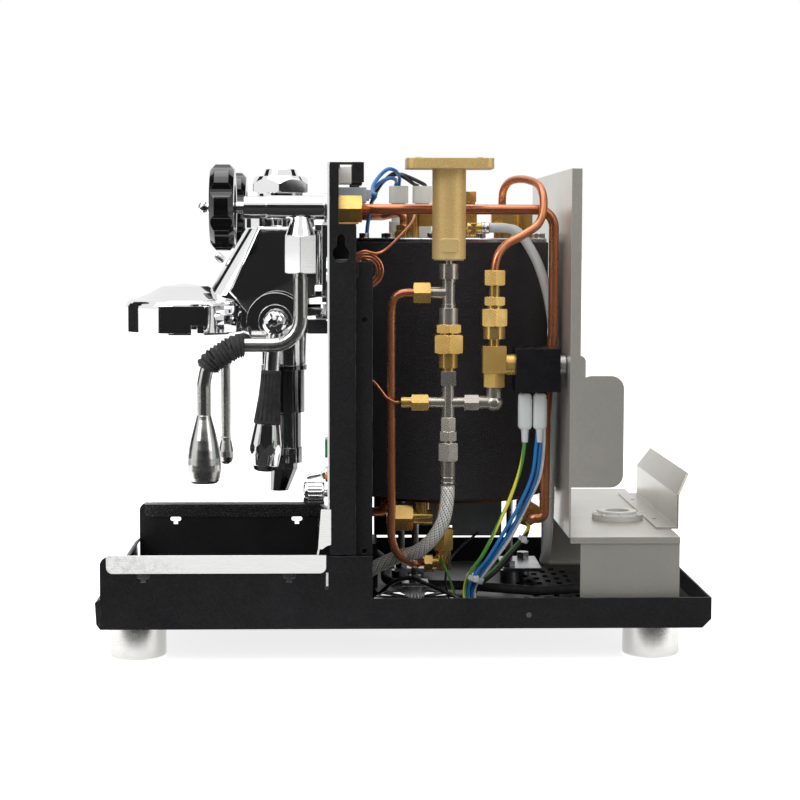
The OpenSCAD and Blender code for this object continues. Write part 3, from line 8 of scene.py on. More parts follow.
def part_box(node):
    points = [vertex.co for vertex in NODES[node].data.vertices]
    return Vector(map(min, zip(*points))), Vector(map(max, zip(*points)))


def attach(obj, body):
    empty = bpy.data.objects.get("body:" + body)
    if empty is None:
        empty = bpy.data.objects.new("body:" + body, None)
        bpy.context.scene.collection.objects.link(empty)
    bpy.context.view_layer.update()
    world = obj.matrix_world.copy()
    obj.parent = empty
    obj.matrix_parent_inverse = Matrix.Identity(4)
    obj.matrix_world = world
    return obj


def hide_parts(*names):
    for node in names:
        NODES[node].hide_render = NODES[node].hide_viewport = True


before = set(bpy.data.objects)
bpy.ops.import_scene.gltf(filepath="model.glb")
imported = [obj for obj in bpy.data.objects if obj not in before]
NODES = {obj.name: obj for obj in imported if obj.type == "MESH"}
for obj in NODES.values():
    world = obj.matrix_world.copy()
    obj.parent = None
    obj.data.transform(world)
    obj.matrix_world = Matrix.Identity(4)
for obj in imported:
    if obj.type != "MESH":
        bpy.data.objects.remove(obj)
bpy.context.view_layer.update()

MM = 0.001
FOOT = 29.0  # the pan's underside above the floor, mm
CHASSIS = "chassis"


# ---------- Camera, floor and light ----------

bpy.context.scene.view_settings.view_transform = "Standard"

CAMERA_PLACE = (1.694, -0.0536, 0.3325)
CAMERA_PITCH, CAMERA_YAW, CAMERA_ROLL = (math.radians(a) for a in (4.644, 1.848, 0.147))
FOCAL_LENGTH, SENSOR_WIDTH, CLIP_END = 89.92, 36.0, 60

FLOOR_SIZE = 30.0
FLOOR_GREY = 0.86
FLOOR_GLOW = 0.8
WORLD_SEEN = 1.0
WORLD_LIGHT = 0.55

# Lamps: name, place, side of the square in metres, power in watts
LAMP_TARGET = (0, 0, 0.2)
LAMPS = (
    ("top_soft", (0.2, -0.2, 2.4), 2.0, 26),
    ("key_soft", (1.6, -1.7, 1.7), 1.4, 20),
    ("fill_soft", (1.4, 1.9, 1.3), 1.4, 12),
)


def add_camera():
    data = bpy.data.cameras.new("camera")
    data.lens = FOCAL_LENGTH
    data.sensor_width = SENSOR_WIDTH
    data.clip_end = CLIP_END
    camera = bpy.data.objects.new("camera", data)
    bpy.context.scene.collection.objects.link(camera)
    camera.location = CAMERA_PLACE
    level = math.cos(CAMERA_PITCH)
    look = Vector((-level * math.cos(CAMERA_YAW), level * math.sin(CAMERA_YAW), -math.sin(CAMERA_PITCH)))
    camera.rotation_mode = "QUATERNION"
    camera.rotation_quaternion = look.to_track_quat("-Z", "Y") @ Quaternion((0, 0, 1), CAMERA_ROLL)
    bpy.context.scene.camera = camera


def add_mesh(name, verts, faces):
    """Smooth object from lists of corners in metres and of faces."""
    mesh = bpy.data.meshes.new(name)
    mesh.from_pydata([tuple(v) for v in verts], [], faces)
    mesh.update()
    mesh.shade_smooth()
    obj = bpy.data.objects.new(name, mesh)
    bpy.context.scene.collection.objects.link(obj)
    return obj


def add_floor():
    """Pale floor that glows a little where it is looked at, so that it meets the white background."""
    size = FLOOR_SIZE
    corners = [(-size, -size, 0), (size, -size, 0), (size, size, 0), (-size, size, 0)]
    floor = add_mesh("floor", corners, [(0, 1, 2, 3)])
    mat = bpy.data.materials.new("pale_floor")
    mat.use_nodes = True
    tree = mat.node_tree
    tree.nodes.clear()
    out = tree.nodes.new("ShaderNodeOutputMaterial")
    diffuse = tree.nodes.new("ShaderNodeBsdfDiffuse")
    diffuse.inputs["Color"].default_value = (FLOOR_GREY, FLOOR_GREY, FLOOR_GREY, 1)
    path = tree.nodes.new("ShaderNodeLightPath")
    seen = tree.nodes.new("ShaderNodeMath")
    seen.operation = "MULTIPLY"
    seen.inputs[1].default_value = FLOOR_GLOW
    looked_at = tree.nodes.new("ShaderNodeMath")
    looked_at.operation = "MAXIMUM"
    tree.links.new(path.outputs["Is Camera Ray"], looked_at.inputs[0])
    tree.links.new(path.outputs["Is Glossy Ray"], looked_at.inputs[1])
    tree.links.new(looked_at.outputs[0], seen.inputs[0])
    both = tree.nodes.new("ShaderNodeAddShader")
    faint = tree.nodes.new("ShaderNodeEmission")
    faint.inputs["Color"].default_value = (1, 1, 1, 1)
    tree.links.new(seen.outputs[0], faint.inputs["Strength"])
    tree.links.new(diffuse.outputs[0], both.inputs[0])
    tree.links.new(faint.outputs[0], both.inputs[1])
    tree.links.new(both.outputs[0], out.inputs["Surface"])
    floor.data.materials.append(mat)


def add_world():
    """White where it is looked at, mirrored or seen through glass, and dimmer as a light."""
    world = bpy.data.worlds.new("studio")
    bpy.context.scene.world = world
    world.use_nodes = True
    tree = world.node_tree
    tree.nodes.clear()
    out = tree.nodes.new("ShaderNodeOutputWorld")
    seen = tree.nodes.new("ShaderNodeBackground")
    seen.inputs["Color"].default_value = (1, 1, 1, 1)
    seen.inputs["Strength"].default_value = WORLD_SEEN
    soft = tree.nodes.new("ShaderNodeBackground")
    soft.inputs["Color"].default_value = (1, 1, 1, 1)
    soft.inputs["Strength"].default_value = WORLD_LIGHT
    path = tree.nodes.new("ShaderNodeLightPath")
    total = path.outputs["Is Camera Ray"]
    for other in ("Is Glossy Ray", "Is Transmission Ray"):
        add = tree.nodes.new("ShaderNodeMath")
        add.operation = "MAXIMUM"
        tree.links.new(total, add.inputs[0])
        tree.links.new(path.outputs[other], add.inputs[1])
        total = add.outputs[0]
    mix = tree.nodes.new("ShaderNodeMixShader")
    tree.links.new(total, mix.inputs[0])
    tree.links.new(soft.outputs[0], mix.inputs[1])
    tree.links.new(seen.outputs[0], mix.inputs[2])
    tree.links.new(mix.outputs[0], out.inputs["Surface"])


def add_lamp(name, place, size, power):
    data = bpy.data.lights.new(name, "AREA")
    data.shape = "SQUARE"
    data.size = size
    data.energy = power
    lamp = bpy.data.objects.new(name, data)
    bpy.context.scene.collection.objects.link(lamp)
    lamp.location = place
    lamp.rotation_mode = "QUATERNION"
    lamp.rotation_quaternion = (Vector(LAMP_TARGET) - Vector(place)).to_track_quat("-Z", "Y")
    lamp.visible_camera = False


# Dark flags, seen only in reflections: from and to azimuth about +X, from and to elevation, degrees
FLAGS = ((-50, 48, -6, 27), (92, 132, -6, 46), (-134, -96, -6, 46), (-60, 60, 60, 86))
FLAG_RADIUS = 3.2
FLAG_CENTRE = Vector((0, 0, 0.25))
FLAG_STEPS = (12, 6)
# The floor's flag: nearest and farthest x, half its width and its height
FLOOR_FLAG = (0.19, 3.2, 3, 0.002)


def add_flags():
    """Parts of a sphere and one sheet over the floor, that only glossy rays meet."""
    dark = bpy.data.materials.new("flag_cloth")
    dark.use_nodes = True
    bsdf = dark.node_tree.nodes["Principled BSDF"]
    bsdf.inputs["Base Color"].default_value = (0.015, 0.015, 0.016, 1)
    bsdf.inputs["Roughness"].default_value = 1.0
    shapes = []
    n, m = FLAG_STEPS
    for a0, a1, e0, e1 in FLAGS:
        verts, faces = [], []
        for i in range(n + 1):
            for k in range(m + 1):
                a = math.radians(a0 + (a1 - a0) * i / n)
                e = math.radians(e0 + (e1 - e0) * k / m)
                way = Vector((math.cos(a) * math.cos(e), math.sin(a) * math.cos(e), math.sin(e)))
                verts.append(FLAG_CENTRE + FLAG_RADIUS * way)
        for i in range(n):
            for k in range(m):
                q = i * (m + 1) + k
                faces.append((q, q + 1, q + m + 2, q + m + 1))
        shapes.append((verts, faces))
    x0, x1, w, z = FLOOR_FLAG
    shapes.append(([(x0, -w, z), (x1, -w, z), (x1, w, z), (x0, w, z)], [(0, 1, 2, 3)]))
    for number, (verts, faces) in enumerate(shapes):
        flag = add_mesh(f"flag_{number}", verts, faces)
        flag.data.materials.append(dark)
        flag.visible_camera = False
        flag.visible_diffuse = False
        flag.visible_shadow = False
        flag.visible_transmission = False


# ---------- Node materials ----------

def srgb(code):
    parts = [int(code[i:i + 2], 16) / 255 for i in (1, 3, 5)]
    return tuple(c / 12.92 if c <= 0.04045 else ((c + 0.055) / 1.055) ** 2.4 for c in parts)


class Look:
    """One Principled material and short ways to add nodes to it."""

    def __init__(self, name, colour, rough=0.4, metal=0.0, **sockets):
        self.mat = bpy.data.materials.new(name)
        self.mat.use_nodes = True
        self.tree = self.mat.node_tree
        self.bsdf = self.tree.nodes["Principled BSDF"]
        self.colour = srgb(colour)
        self.set("Base Color", (*self.colour, 1))
        self.set("Roughness", rough)
        self.set("Metallic", metal)
        for key, value in sockets.items():
            self.set(key.replace("_", " "), value)
        self.normal = None

    def set(self, socket, value):
        self.bsdf.inputs[socket].default_value = value

    def node(self, kind, **inputs):
        made = self.tree.nodes.new(kind)
        for key, value in inputs.items():
            self.plug(made, key, value)
        return made

    def plug(self, made, key, value):
        socket = made.inputs[key] if not key.isdigit() else made.inputs[int(key)]
        if isinstance(value, bpy.types.NodeSocket):
            self.tree.links.new(value, socket)
        else:
            socket.default_value = value

    def math(self, operation, a, b=0.0, clamp=False):
        made = self.tree.nodes.new("ShaderNodeMath")
        made.operation = operation
        made.use_clamp = clamp
        self.plug(made, "0", a)
        self.plug(made, "1", b)
        return made.outputs[0]

    def place(self, scale=(1, 1, 1)):
        """The object's own coordinates in metres, stretched for a grain."""
        coords = self.tree.nodes.new("ShaderNodeTexCoord")
        mapping = self.tree.nodes.new("ShaderNodeMapping")
        mapping.inputs["Scale"].default_value = scale
        self.tree.links.new(coords.outputs["Object"], mapping.inputs["Vector"])
        return mapping.outputs[0]

    def axes(self, vector=None):
        """The three parts of a vector, or of the object's own coordinates in metres."""
        if vector is None:
            vector = self.tree.nodes.new("ShaderNodeTexCoord").outputs["Object"]
        return self.node("ShaderNodeSeparateXYZ", Vector=vector).outputs

    def along_tube(self):
        """Share of the way round a tube, and metres along it."""
        return self.axes(self.tree.nodes.new("ShaderNodeUVMap").outputs[0])

    def facing(self):
        """The three parts of each face's own direction."""
        return self.axes(self.tree.nodes.new("ShaderNodeNewGeometry").outputs["True Normal"])

    def noise(self, scale, detail=3.0, rough=0.5, where=None):
        made = self.node("ShaderNodeTexNoise", Scale=scale, Detail=detail, Roughness=rough)
        self.tree.links.new(where if where is not None else self.place(), made.inputs["Vector"])
        return made.outputs["Fac"]

    def spread(self, value, low, high, new_low=0.0, new_high=1.0):
        """Clamped change of range."""
        made = self.tree.nodes.new("ShaderNodeMapRange")
        made.clamp = True
        for key, number in zip(("From Min", "From Max", "To Min", "To Max"), (low, high, new_low, new_high)):
            made.inputs[key].default_value = number
        self.tree.links.new(value, made.inputs["Value"])
        return made.outputs[0]

    def blend(self, share, a, b):
        """Colour a where share is 0 and colour b where it is 1."""
        made = self.tree.nodes.new("ShaderNodeMix")
        made.data_type = "RGBA"
        self.tree.links.new(share, made.inputs[0])
        for socket, value in ((made.inputs[6], a), (made.inputs[7], b)):
            if isinstance(value, bpy.types.NodeSocket):
                self.tree.links.new(value, socket)
            else:
                socket.default_value = (*value, 1)
        return made.outputs[2]

    def edges(self, radius):
        """0 on flats, towards 1 on edges of about that radius."""
        bevel = self.node("ShaderNodeBevel", Radius=radius)
        bevel.samples = 4
        plain = self.tree.nodes.new("ShaderNodeNewGeometry")
        dot = self.tree.nodes.new("ShaderNodeVectorMath")
        dot.operation = "DOT_PRODUCT"
        self.tree.links.new(bevel.outputs[0], dot.inputs[0])
        self.tree.links.new(plain.outputs["Normal"], dot.inputs[1])
        return self.spread(dot.outputs["Value"], 0.995, 0.80)

    def soft_edges(self, radius):
        bevel = self.node("ShaderNodeBevel", Radius=radius)
        bevel.samples = 6
        self.normal = bevel.outputs[0]
        return self

    def bump(self, height, depth, strength=1.0):
        made = self.node("ShaderNodeBump", Strength=strength, Distance=depth, Height=height)
        if self.normal is not None:
            self.tree.links.new(self.normal, made.inputs["Normal"])
        self.normal = made.outputs[0]
        return self

    def base(self, value):
        self.tree.links.new(value, self.bsdf.inputs["Base Color"])
        return self

    def rough(self, value):
        self.tree.links.new(value, self.bsdf.inputs["Roughness"])
        return self

    def metal(self, value):
        self.tree.links.new(value, self.bsdf.inputs["Metallic"])
        return self

    def done(self):
        if self.normal is not None:
            self.tree.links.new(self.normal, self.bsdf.inputs["Normal"])
        return self.mat


# Places and sizes that the looks go by, mm
DISPLAY_LOW = 124.5  # the lamp and the nuts are below this height, the green frame above it
LAMP_X = 108.5  # the lamp is beyond this x
GAUGE_X, GAUGE_H = 68, 262
DIAL_R, DIAL_Y, DIAL_TICKS, TICK_BAND = 23.5, -51.5, 40, (17.5, 21.2)
ROLLED_EDGE = 2.2
WEAVE_PITCH = 2.1
BRAID_PITCH, BRAID_STRANDS, BRAID_WIRES = 3.4, 14, 5.0


def tone(colour, factor):
    """The colour made brighter or darker."""
    return tuple(min(1.0, c * factor) for c in colour)


def metal_look(name, colour, rough, spread=0.08, edge=0.0006, grain=None, stain=0.12, tint=None, metal=1.0,
               beyond=None):
    """Machined or drawn metal: cloudy polish, fine grain, worn bright edges and faint stains.

    beyond is a depth in metres and the colour of what lies behind it.
    """
    look = Look(name, colour, rough, metal)
    if edge:
        look.soft_edges(edge)
    cloud = look.noise(38, 4, 0.6)
    look.rough(look.spread(cloud, 0.3, 0.7, max(0.02, rough - spread), rough + spread))
    patch = look.spread(look.noise(16, 5, 0.65), 0.35, 0.75)
    dark = tint or tone(look.colour, 1 - stain * 2)
    shade = look.blend(patch, tone(look.colour, 1 + stain * 0.4), dark)
    worn = look.blend(look.edges(edge * 1.6), shade, tone(look.colour, 1.18)) if edge else shade
    if beyond:
        behind = look.math("GREATER_THAN", look.axes()[1], beyond[0])
        worn = look.blend(behind, worn, srgb(beyond[1]))
    look.base(worn)
    if grain:
        lines = look.noise(1.0, 6, 0.7, look.place(grain))
        look.bump(lines, 0.00006, 0.5)
    else:
        look.bump(look.noise(150, 2), 0.00003, 0.12)
    return look.done()


def rubber_look(name, colour, rough=0.62):
    """Matt rubber with pale dust."""
    look = Look(name, colour, rough, 0.0, Specular_IOR_Level=0.4).soft_edges(0.0005)
    dust = look.spread(look.noise(55, 5, 0.7), 0.45, 0.8)
    look.base(look.blend(dust, look.colour, tone(tuple(c + 0.02 for c in look.colour), 1.5)))
    look.rough(look.spread(look.noise(240, 3), 0.3, 0.7, rough - 0.12, rough + 0.12))
    look.bump(look.noise(1600, 2), 0.00004, 0.5)
    return look.done()


def plastic_look(name, colour, rough=0.3, grain=1200, **sockets):
    """Moulded plastic: cloudy colour, spark grain and paler edges."""
    look = Look(name, colour, rough, 0.0, **sockets).soft_edges(0.0006)
    cloud = look.spread(look.noise(60, 4, 0.6), 0.35, 0.75)
    shade = look.blend(cloud, look.colour, tone(look.colour, 0.86))
    look.base(look.blend(look.edges(0.0008), shade, tone(tuple(c + 0.01 for c in look.colour), 1.25)))
    look.rough(look.spread(look.noise(90, 4), 0.3, 0.7, max(0.03, rough - 0.06), rough + 0.08))
    look.bump(look.noise(grain, 2), 0.00003, 0.4)
    return look.done()


def powder_look():
    """Fine black powder coat: orange peel, a few pale scuffs and rubbed edges."""
    look = Look("powder_coat", "#1a1a1c", 0.42, 0.0, Specular_IOR_Level=0.3).soft_edges(0.0006)
    rubbed = look.math("MULTIPLY", look.edges(0.0009), look.spread(look.noise(70, 4, 0.7), 0.45, 0.65))
    dust = look.spread(look.noise(9, 6, 0.75), 0.56, 0.86, 0.0, 0.35)
    grain = look.spread(look.noise(700, 2, 0.6), 0.4, 0.7, 0.0, 0.5)
    dusty = look.blend(dust, look.blend(grain, look.colour, srgb("#2c2b2d")), srgb("#38373b"))
    look.base(look.blend(rubbed, dusty, srgb("#5b5b60")))
    look.rough(look.spread(look.noise(30, 5, 0.6), 0.3, 0.7, 0.34, 0.5))
    look.bump(look.noise(620, 2, 0.4), 0.0001, 0.6)
    return look.done()


def jacket_look():
    """Black glass cloth: a plain weave in turns and heights round the drum, with pale flecks."""
    look = Look("jacket_weave", "#232226", 0.85, 0.0, Sheen_Weight=0.25, Sheen_Roughness=0.4)
    low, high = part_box("boiler_jacket")
    centre, radius = (low + high) / 2, (high.x - low.x) / 2
    ax, ay, az = look.axes()
    x = look.math("SUBTRACT", ax, centre.x)
    y = look.math("SUBTRACT", ay, centre.y)
    around = look.math("MULTIPLY", look.math("ARCTAN2", y, x), radius)
    pitch = 2 * math.pi / (WEAVE_PITCH * MM)
    warp = look.math("SINE", look.math("MULTIPLY", around, pitch))
    weft = look.math("SINE", look.math("MULTIPLY", az, pitch))
    cloth = look.math("MULTIPLY", warp, weft)
    thread = look.spread(cloth, -0.8, 0.8)
    fleck = look.spread(look.noise(520, 3, 0.7), 0.62, 0.74)
    shade = look.blend(thread, srgb("#18171a"), srgb("#353337"))
    cloudy = look.blend(look.spread(look.noise(14, 4), 0.35, 0.7, 0.0, 0.5), shade, srgb("#39363a"))
    look.base(look.blend(look.math("MULTIPLY", fleck, 0.45), cloudy, srgb("#6a6660")))
    look.bump(cloth, 0.00035, 0.8)
    look.bump(look.noise(24, 3), 0.0012, 0.3)
    return look.done()


def cast_brass_look():
    """Sand cast brass: matt, finely pitted, brighter on its edges."""
    look = Look("cast_brass", "#d8b777", 0.5, 0.45).soft_edges(0.0009)
    grit = look.noise(900, 4, 0.6)
    patch = look.spread(look.noise(14, 4, 0.6), 0.35, 0.75)
    shade = look.blend(patch, srgb("#dfc080"), srgb("#c9a25c"))
    speck = look.spread(look.noise(1500, 2, 0.6), 0.5, 0.66)
    shade = look.blend(look.math("MULTIPLY", speck, 0.6), shade, srgb("#f3deaa"))
    look.base(look.blend(look.edges(0.0012), shade, srgb("#f0dca6")))
    look.rough(look.spread(grit, 0.3, 0.7, 0.40, 0.56))
    look.bump(grit, 0.0002, 0.6)
    look.bump(look.noise(90, 3), 0.0002, 0.25)
    return look.done()


def panel_parts_look():
    """Green display frame, an orange lamp lens and bright nuts, told apart by their place on the panel."""
    look = Look("panel_parts", "#2f7d4c", 0.25).soft_edges(0.0004)
    x, _, z = look.axes()
    low = look.math("LESS_THAN", z, (DISPLAY_LOW + FOOT) * MM)
    lens = look.math("GREATER_THAN", x, LAMP_X * MM)
    orange = look.math("MULTIPLY", low, lens)
    cloud = look.spread(look.noise(60, 3), 0.35, 0.7)
    green = look.blend(cloud, srgb("#2f8a52"), srgb("#236c3f"))
    warm = look.blend(cloud, srgb("#f3904c"), srgb("#e0702c"))
    bright = look.blend(low, green, srgb("#dcdcdc"))
    look.base(look.blend(orange, bright, warm))
    metal = look.math("SUBTRACT", low, orange, True)
    look.metal(metal)
    look.rough(look.spread(look.noise(200, 3), 0.3, 0.7, 0.14, 0.26))
    look.bump(look.noise(700, 2), 0.00003, 0.4)
    return look.done()


def gauge_look():
    """Chromed cup and bezel round a white dial with black graduations."""
    look = Look("gauge_parts", "#e9e9ea", 0.06).soft_edges(0.0004)
    x, y, z = look.axes()
    across = look.math("SUBTRACT", look.math("ABSOLUTE", x), GAUGE_X * MM)
    up = look.math("SUBTRACT", z, (GAUGE_H + FOOT) * MM)
    squares = look.math("ADD", look.math("MULTIPLY", across, across), look.math("MULTIPLY", up, up))
    out = look.math("SQRT", squares)
    inside = look.math("LESS_THAN", out, DIAL_R * MM)
    face = look.math("MULTIPLY", inside, look.math("LESS_THAN", y, DIAL_Y * MM))
    turn = look.math("MULTIPLY", look.math("ARCTAN2", up, across), DIAL_TICKS / (2 * math.pi))
    tick = look.math("LESS_THAN", look.math("FRACT", turn), 0.14)
    low, high = (r * MM for r in TICK_BAND)
    band = look.math("MULTIPLY", look.math("GREATER_THAN", out, low), look.math("LESS_THAN", out, high))
    marks = look.math("MULTIPLY", tick, band)
    dial = look.blend(marks, srgb("#f1f1ec"), srgb("#1b1b1c"))
    cloud = look.spread(look.noise(40, 3), 0.35, 0.7)
    look.base(look.blend(face, look.blend(cloud, srgb("#ececed"), srgb("#dcdcde")), dial))
    look.metal(look.math("SUBTRACT", 1.0, face))
    look.rough(look.spread(look.noise(90, 3), 0.3, 0.7, 0.05, 0.16))
    look.bump(look.noise(500, 2), 0.00002, 0.3)
    return look.done()


def brushed_sheet_look(name, colour, rough, grain, metal):
    """Satin sheet: faint brush lines over a slow haze of random lighter and darker patches, painted as
    reflection gradients, and a fine mottle.
    """
    look = Look(name, colour, rough, metal).soft_edges(0.0006)
    lines = look.noise(1.0, 4, 0.6, look.place(grain))
    look.rough(look.spread(lines, 0.3, 0.7, rough - 0.02, rough + 0.03))
    # painted reflection: slow random lighter and darker patches that stand in for reflection gradients
    haze = look.spread(look.noise(7, 5, 0.6), 0.35, 0.75)
    shade = look.blend(haze, tone(look.colour, 1.06), tone(look.colour, 0.8))
    shade = look.blend(look.spread(lines, 0.3, 0.7, 0.0, 0.1), shade, tone(look.colour, 1.15))
    mottle = look.spread(look.noise(480, 3, 0.6), 0.4, 0.65)
    shade = look.blend(look.math("MULTIPLY", mottle, 0.35), shade, tone(look.colour, 0.82))
    look.base(look.blend(look.edges(0.0009), shade, tone(look.colour, 1.12)))
    look.bump(lines, 0.00002, 0.12)
    return look.done()


def trim_look():
    """Rolled trims, ground satin outside. The near faces are painted near-white and nearly matt as a painted
    bright reflection, crossed by a painted diagonal dark reflection broken up by noise; the far one's inner
    face is polished and painted dark as a painted reflection, with pale scuff specks, and its rolled top is a
    painted highlight.
    """
    look = Look("polished_trim", "#fafaf8", 0.24).soft_edges(0.0005)
    x, y, z = look.axes()
    inward = look.math("GREATER_THAN", look.facing()[0], 0.5)
    far = look.math("MULTIPLY", look.math("LESS_THAN", x, 0.0), inward)
    lines = look.noise(1.0, 5, 0.7, look.place((9, 9, 700)))
    # painted reflection: a darker diagonal band over the near-white near faces, broken up by noise
    slant = look.math("ADD", y, look.math("MULTIPLY", z, 1.6))
    ragged = look.math("ADD", slant, look.math("MULTIPLY", look.noise(30, 4), 0.03))
    patch = look.spread(ragged, -0.1, -0.02, 0.55, 0.0)
    reflection_breakup = look.spread(look.noise(260, 4, 0.7), 0.45, 0.62)
    near = look.blend(look.math("MULTIPLY", patch, reflection_breakup), srgb("#fbfbf9"), srgb("#9c9b97"))
    # painted reflection: the far trim's inner face is painted dark, with pale scuff specks
    speck = look.spread(look.noise(900, 3, 0.6), 0.5, 0.66, 0.0, 0.7)
    dark = look.blend(speck, srgb("#3c3c3d"), srgb("#9a9a99"))
    # painted highlight: the rolled top edge of that face is painted bright
    rolled = look.math("GREATER_THAN", z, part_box("bay_trims")[1].z - ROLLED_EDGE * MM)
    dark = look.blend(rolled, dark, srgb("#f2f2f0"))
    look.base(look.blend(far, near, dark))
    look.metal(look.spread(far, 0.0, 1.0, 0.12, 0.75))
    look.rough(look.spread(lines, 0.3, 0.7, 0.2, 0.36))
    look.bump(lines, 0.00003, 0.25)
    return look.done()


def silicone_look():
    """Milky tube: smooth skin over a faint, slow haze."""
    look = Look("milky_tube", "#d6d9d8", 0.22, 0.0, Transmission_Weight=0.12, Subsurface_Weight=0.25,
                Subsurface_Scale=0.003, IOR=1.41)
    haze = look.spread(look.noise(16, 2), 0.3, 0.7)
    look.base(look.blend(haze, srgb("#d9dcdb"), srgb("#c3c7c7")))
    look.rough(look.spread(look.noise(60, 3), 0.3, 0.7, 0.18, 0.28))
    look.bump(look.noise(60, 2), 0.00004, 0.15)
    return look.done()


def braid_look():
    """Steel braid: two crossing sets of flat strands, with darker gaps and black tracer flecks."""
    look = Look("steel_braid", "#dcdcdc", 0.36, 0.5)
    u, v, _ = look.along_tube()
    along = look.math("MULTIPLY", v, 2 * math.pi / (BRAID_PITCH * MM))
    around = look.math("MULTIPLY", u, 2 * math.pi * BRAID_STRANDS)
    rising, falling = look.math("ADD", along, around), look.math("SUBTRACT", along, around)
    left, right = look.math("SINE", rising), look.math("SINE", falling)
    over = look.math("MAXIMUM", left, right)
    wires = look.math("SINE", look.math("MULTIPLY", rising, BRAID_WIRES))
    other = look.math("SINE", look.math("MULTIPLY", falling, BRAID_WIRES))
    pick = look.math("GREATER_THAN", left, right)
    strand = look.node("ShaderNodeMix")
    strand.data_type = "FLOAT"
    look.tree.links.new(pick, strand.inputs[0])
    look.tree.links.new(other, strand.inputs[2])
    look.tree.links.new(wires, strand.inputs[3])
    height = look.math("ADD", over, look.math("MULTIPLY", strand.outputs[0], 0.18))
    slow = look.math("ADD", look.math("MULTIPLY", along, 0.5), look.math("MULTIPLY", around, 0.5))
    tracer = look.math("GREATER_THAN", look.math("SINE", slow), 0.93)
    gap = look.spread(over, -0.1, 0.5)
    metal = look.blend(gap, srgb("#9b9893"), srgb("#f6f4ef"))
    look.base(look.blend(look.math("MULTIPLY", tracer, 0.6), metal, srgb("#2c2c2e")))
    look.bump(height, 0.0003, 0.6)
    return look.done()


def wire_look(name, colour, stripe=None):
    """Wire sleeve, with a second colour wound round it if there is a stripe."""
    look = Look(name, colour, 0.32, 0.0, Coat_Weight=0.15, Coat_Roughness=0.3)
    shade = look.blend(look.spread(look.noise(90, 3), 0.35, 0.7), look.colour, tone(look.colour, 0.8))
    if stripe:
        u, v, _ = look.along_tube()
        twist = look.math("ADD", look.math("MULTIPLY", u, 1.0), look.math("MULTIPLY", v, 9.0))
        band = look.math("GREATER_THAN", look.math("FRACT", twist), 0.55)
        shade = look.blend(band, shade, srgb(stripe))
    look.base(shade)
    look.rough(look.spread(look.noise(200, 3), 0.3, 0.7, 0.26, 0.42))
    look.bump(look.noise(700, 2), 0.00003, 0.4)
    return look.done()


def glass_look():
    """Clear glass with faint smears."""
    look = Look("clear_glass", "#f4f8f8", 0.02, 0.0, Transmission_Weight=1.0, IOR=1.45)
    look.rough(look.spread(look.noise(60, 4), 0.4, 0.8, 0.01, 0.06))
    look.bump(look.noise(30, 2), 0.00002, 0.3)
    return look.done()


def panel_look():
    """Mirror polished sheet whose cut edges are brighter and finely ground."""
    look = Look("polished_panel", "#dfdfdd", 0.08, 1.0).soft_edges(0.0003)
    cut = look.math("GREATER_THAN", look.math("ABSOLUTE", look.facing()[0]), 0.7)
    cloud = look.spread(look.noise(20, 4), 0.35, 0.7)
    polished = look.blend(cloud, srgb("#e2e2e0"), srgb("#d4d4d2"))
    look.base(look.blend(cut, polished, srgb("#f6f6f3")))
    look.metal(look.math("SUBTRACT", 1.0, look.math("MULTIPLY", cut, 0.8)))
    cloudy = look.spread(look.noise(60, 3), 0.3, 0.7, 0.05, 0.12)
    look.rough(look.math("ADD", look.math("MULTIPLY", cut, 0.25), cloudy))
    look.bump(look.noise(1.0, 5, 0.7, look.place((3, 3, 900))), 0.00003, 0.3)
    return look.done()


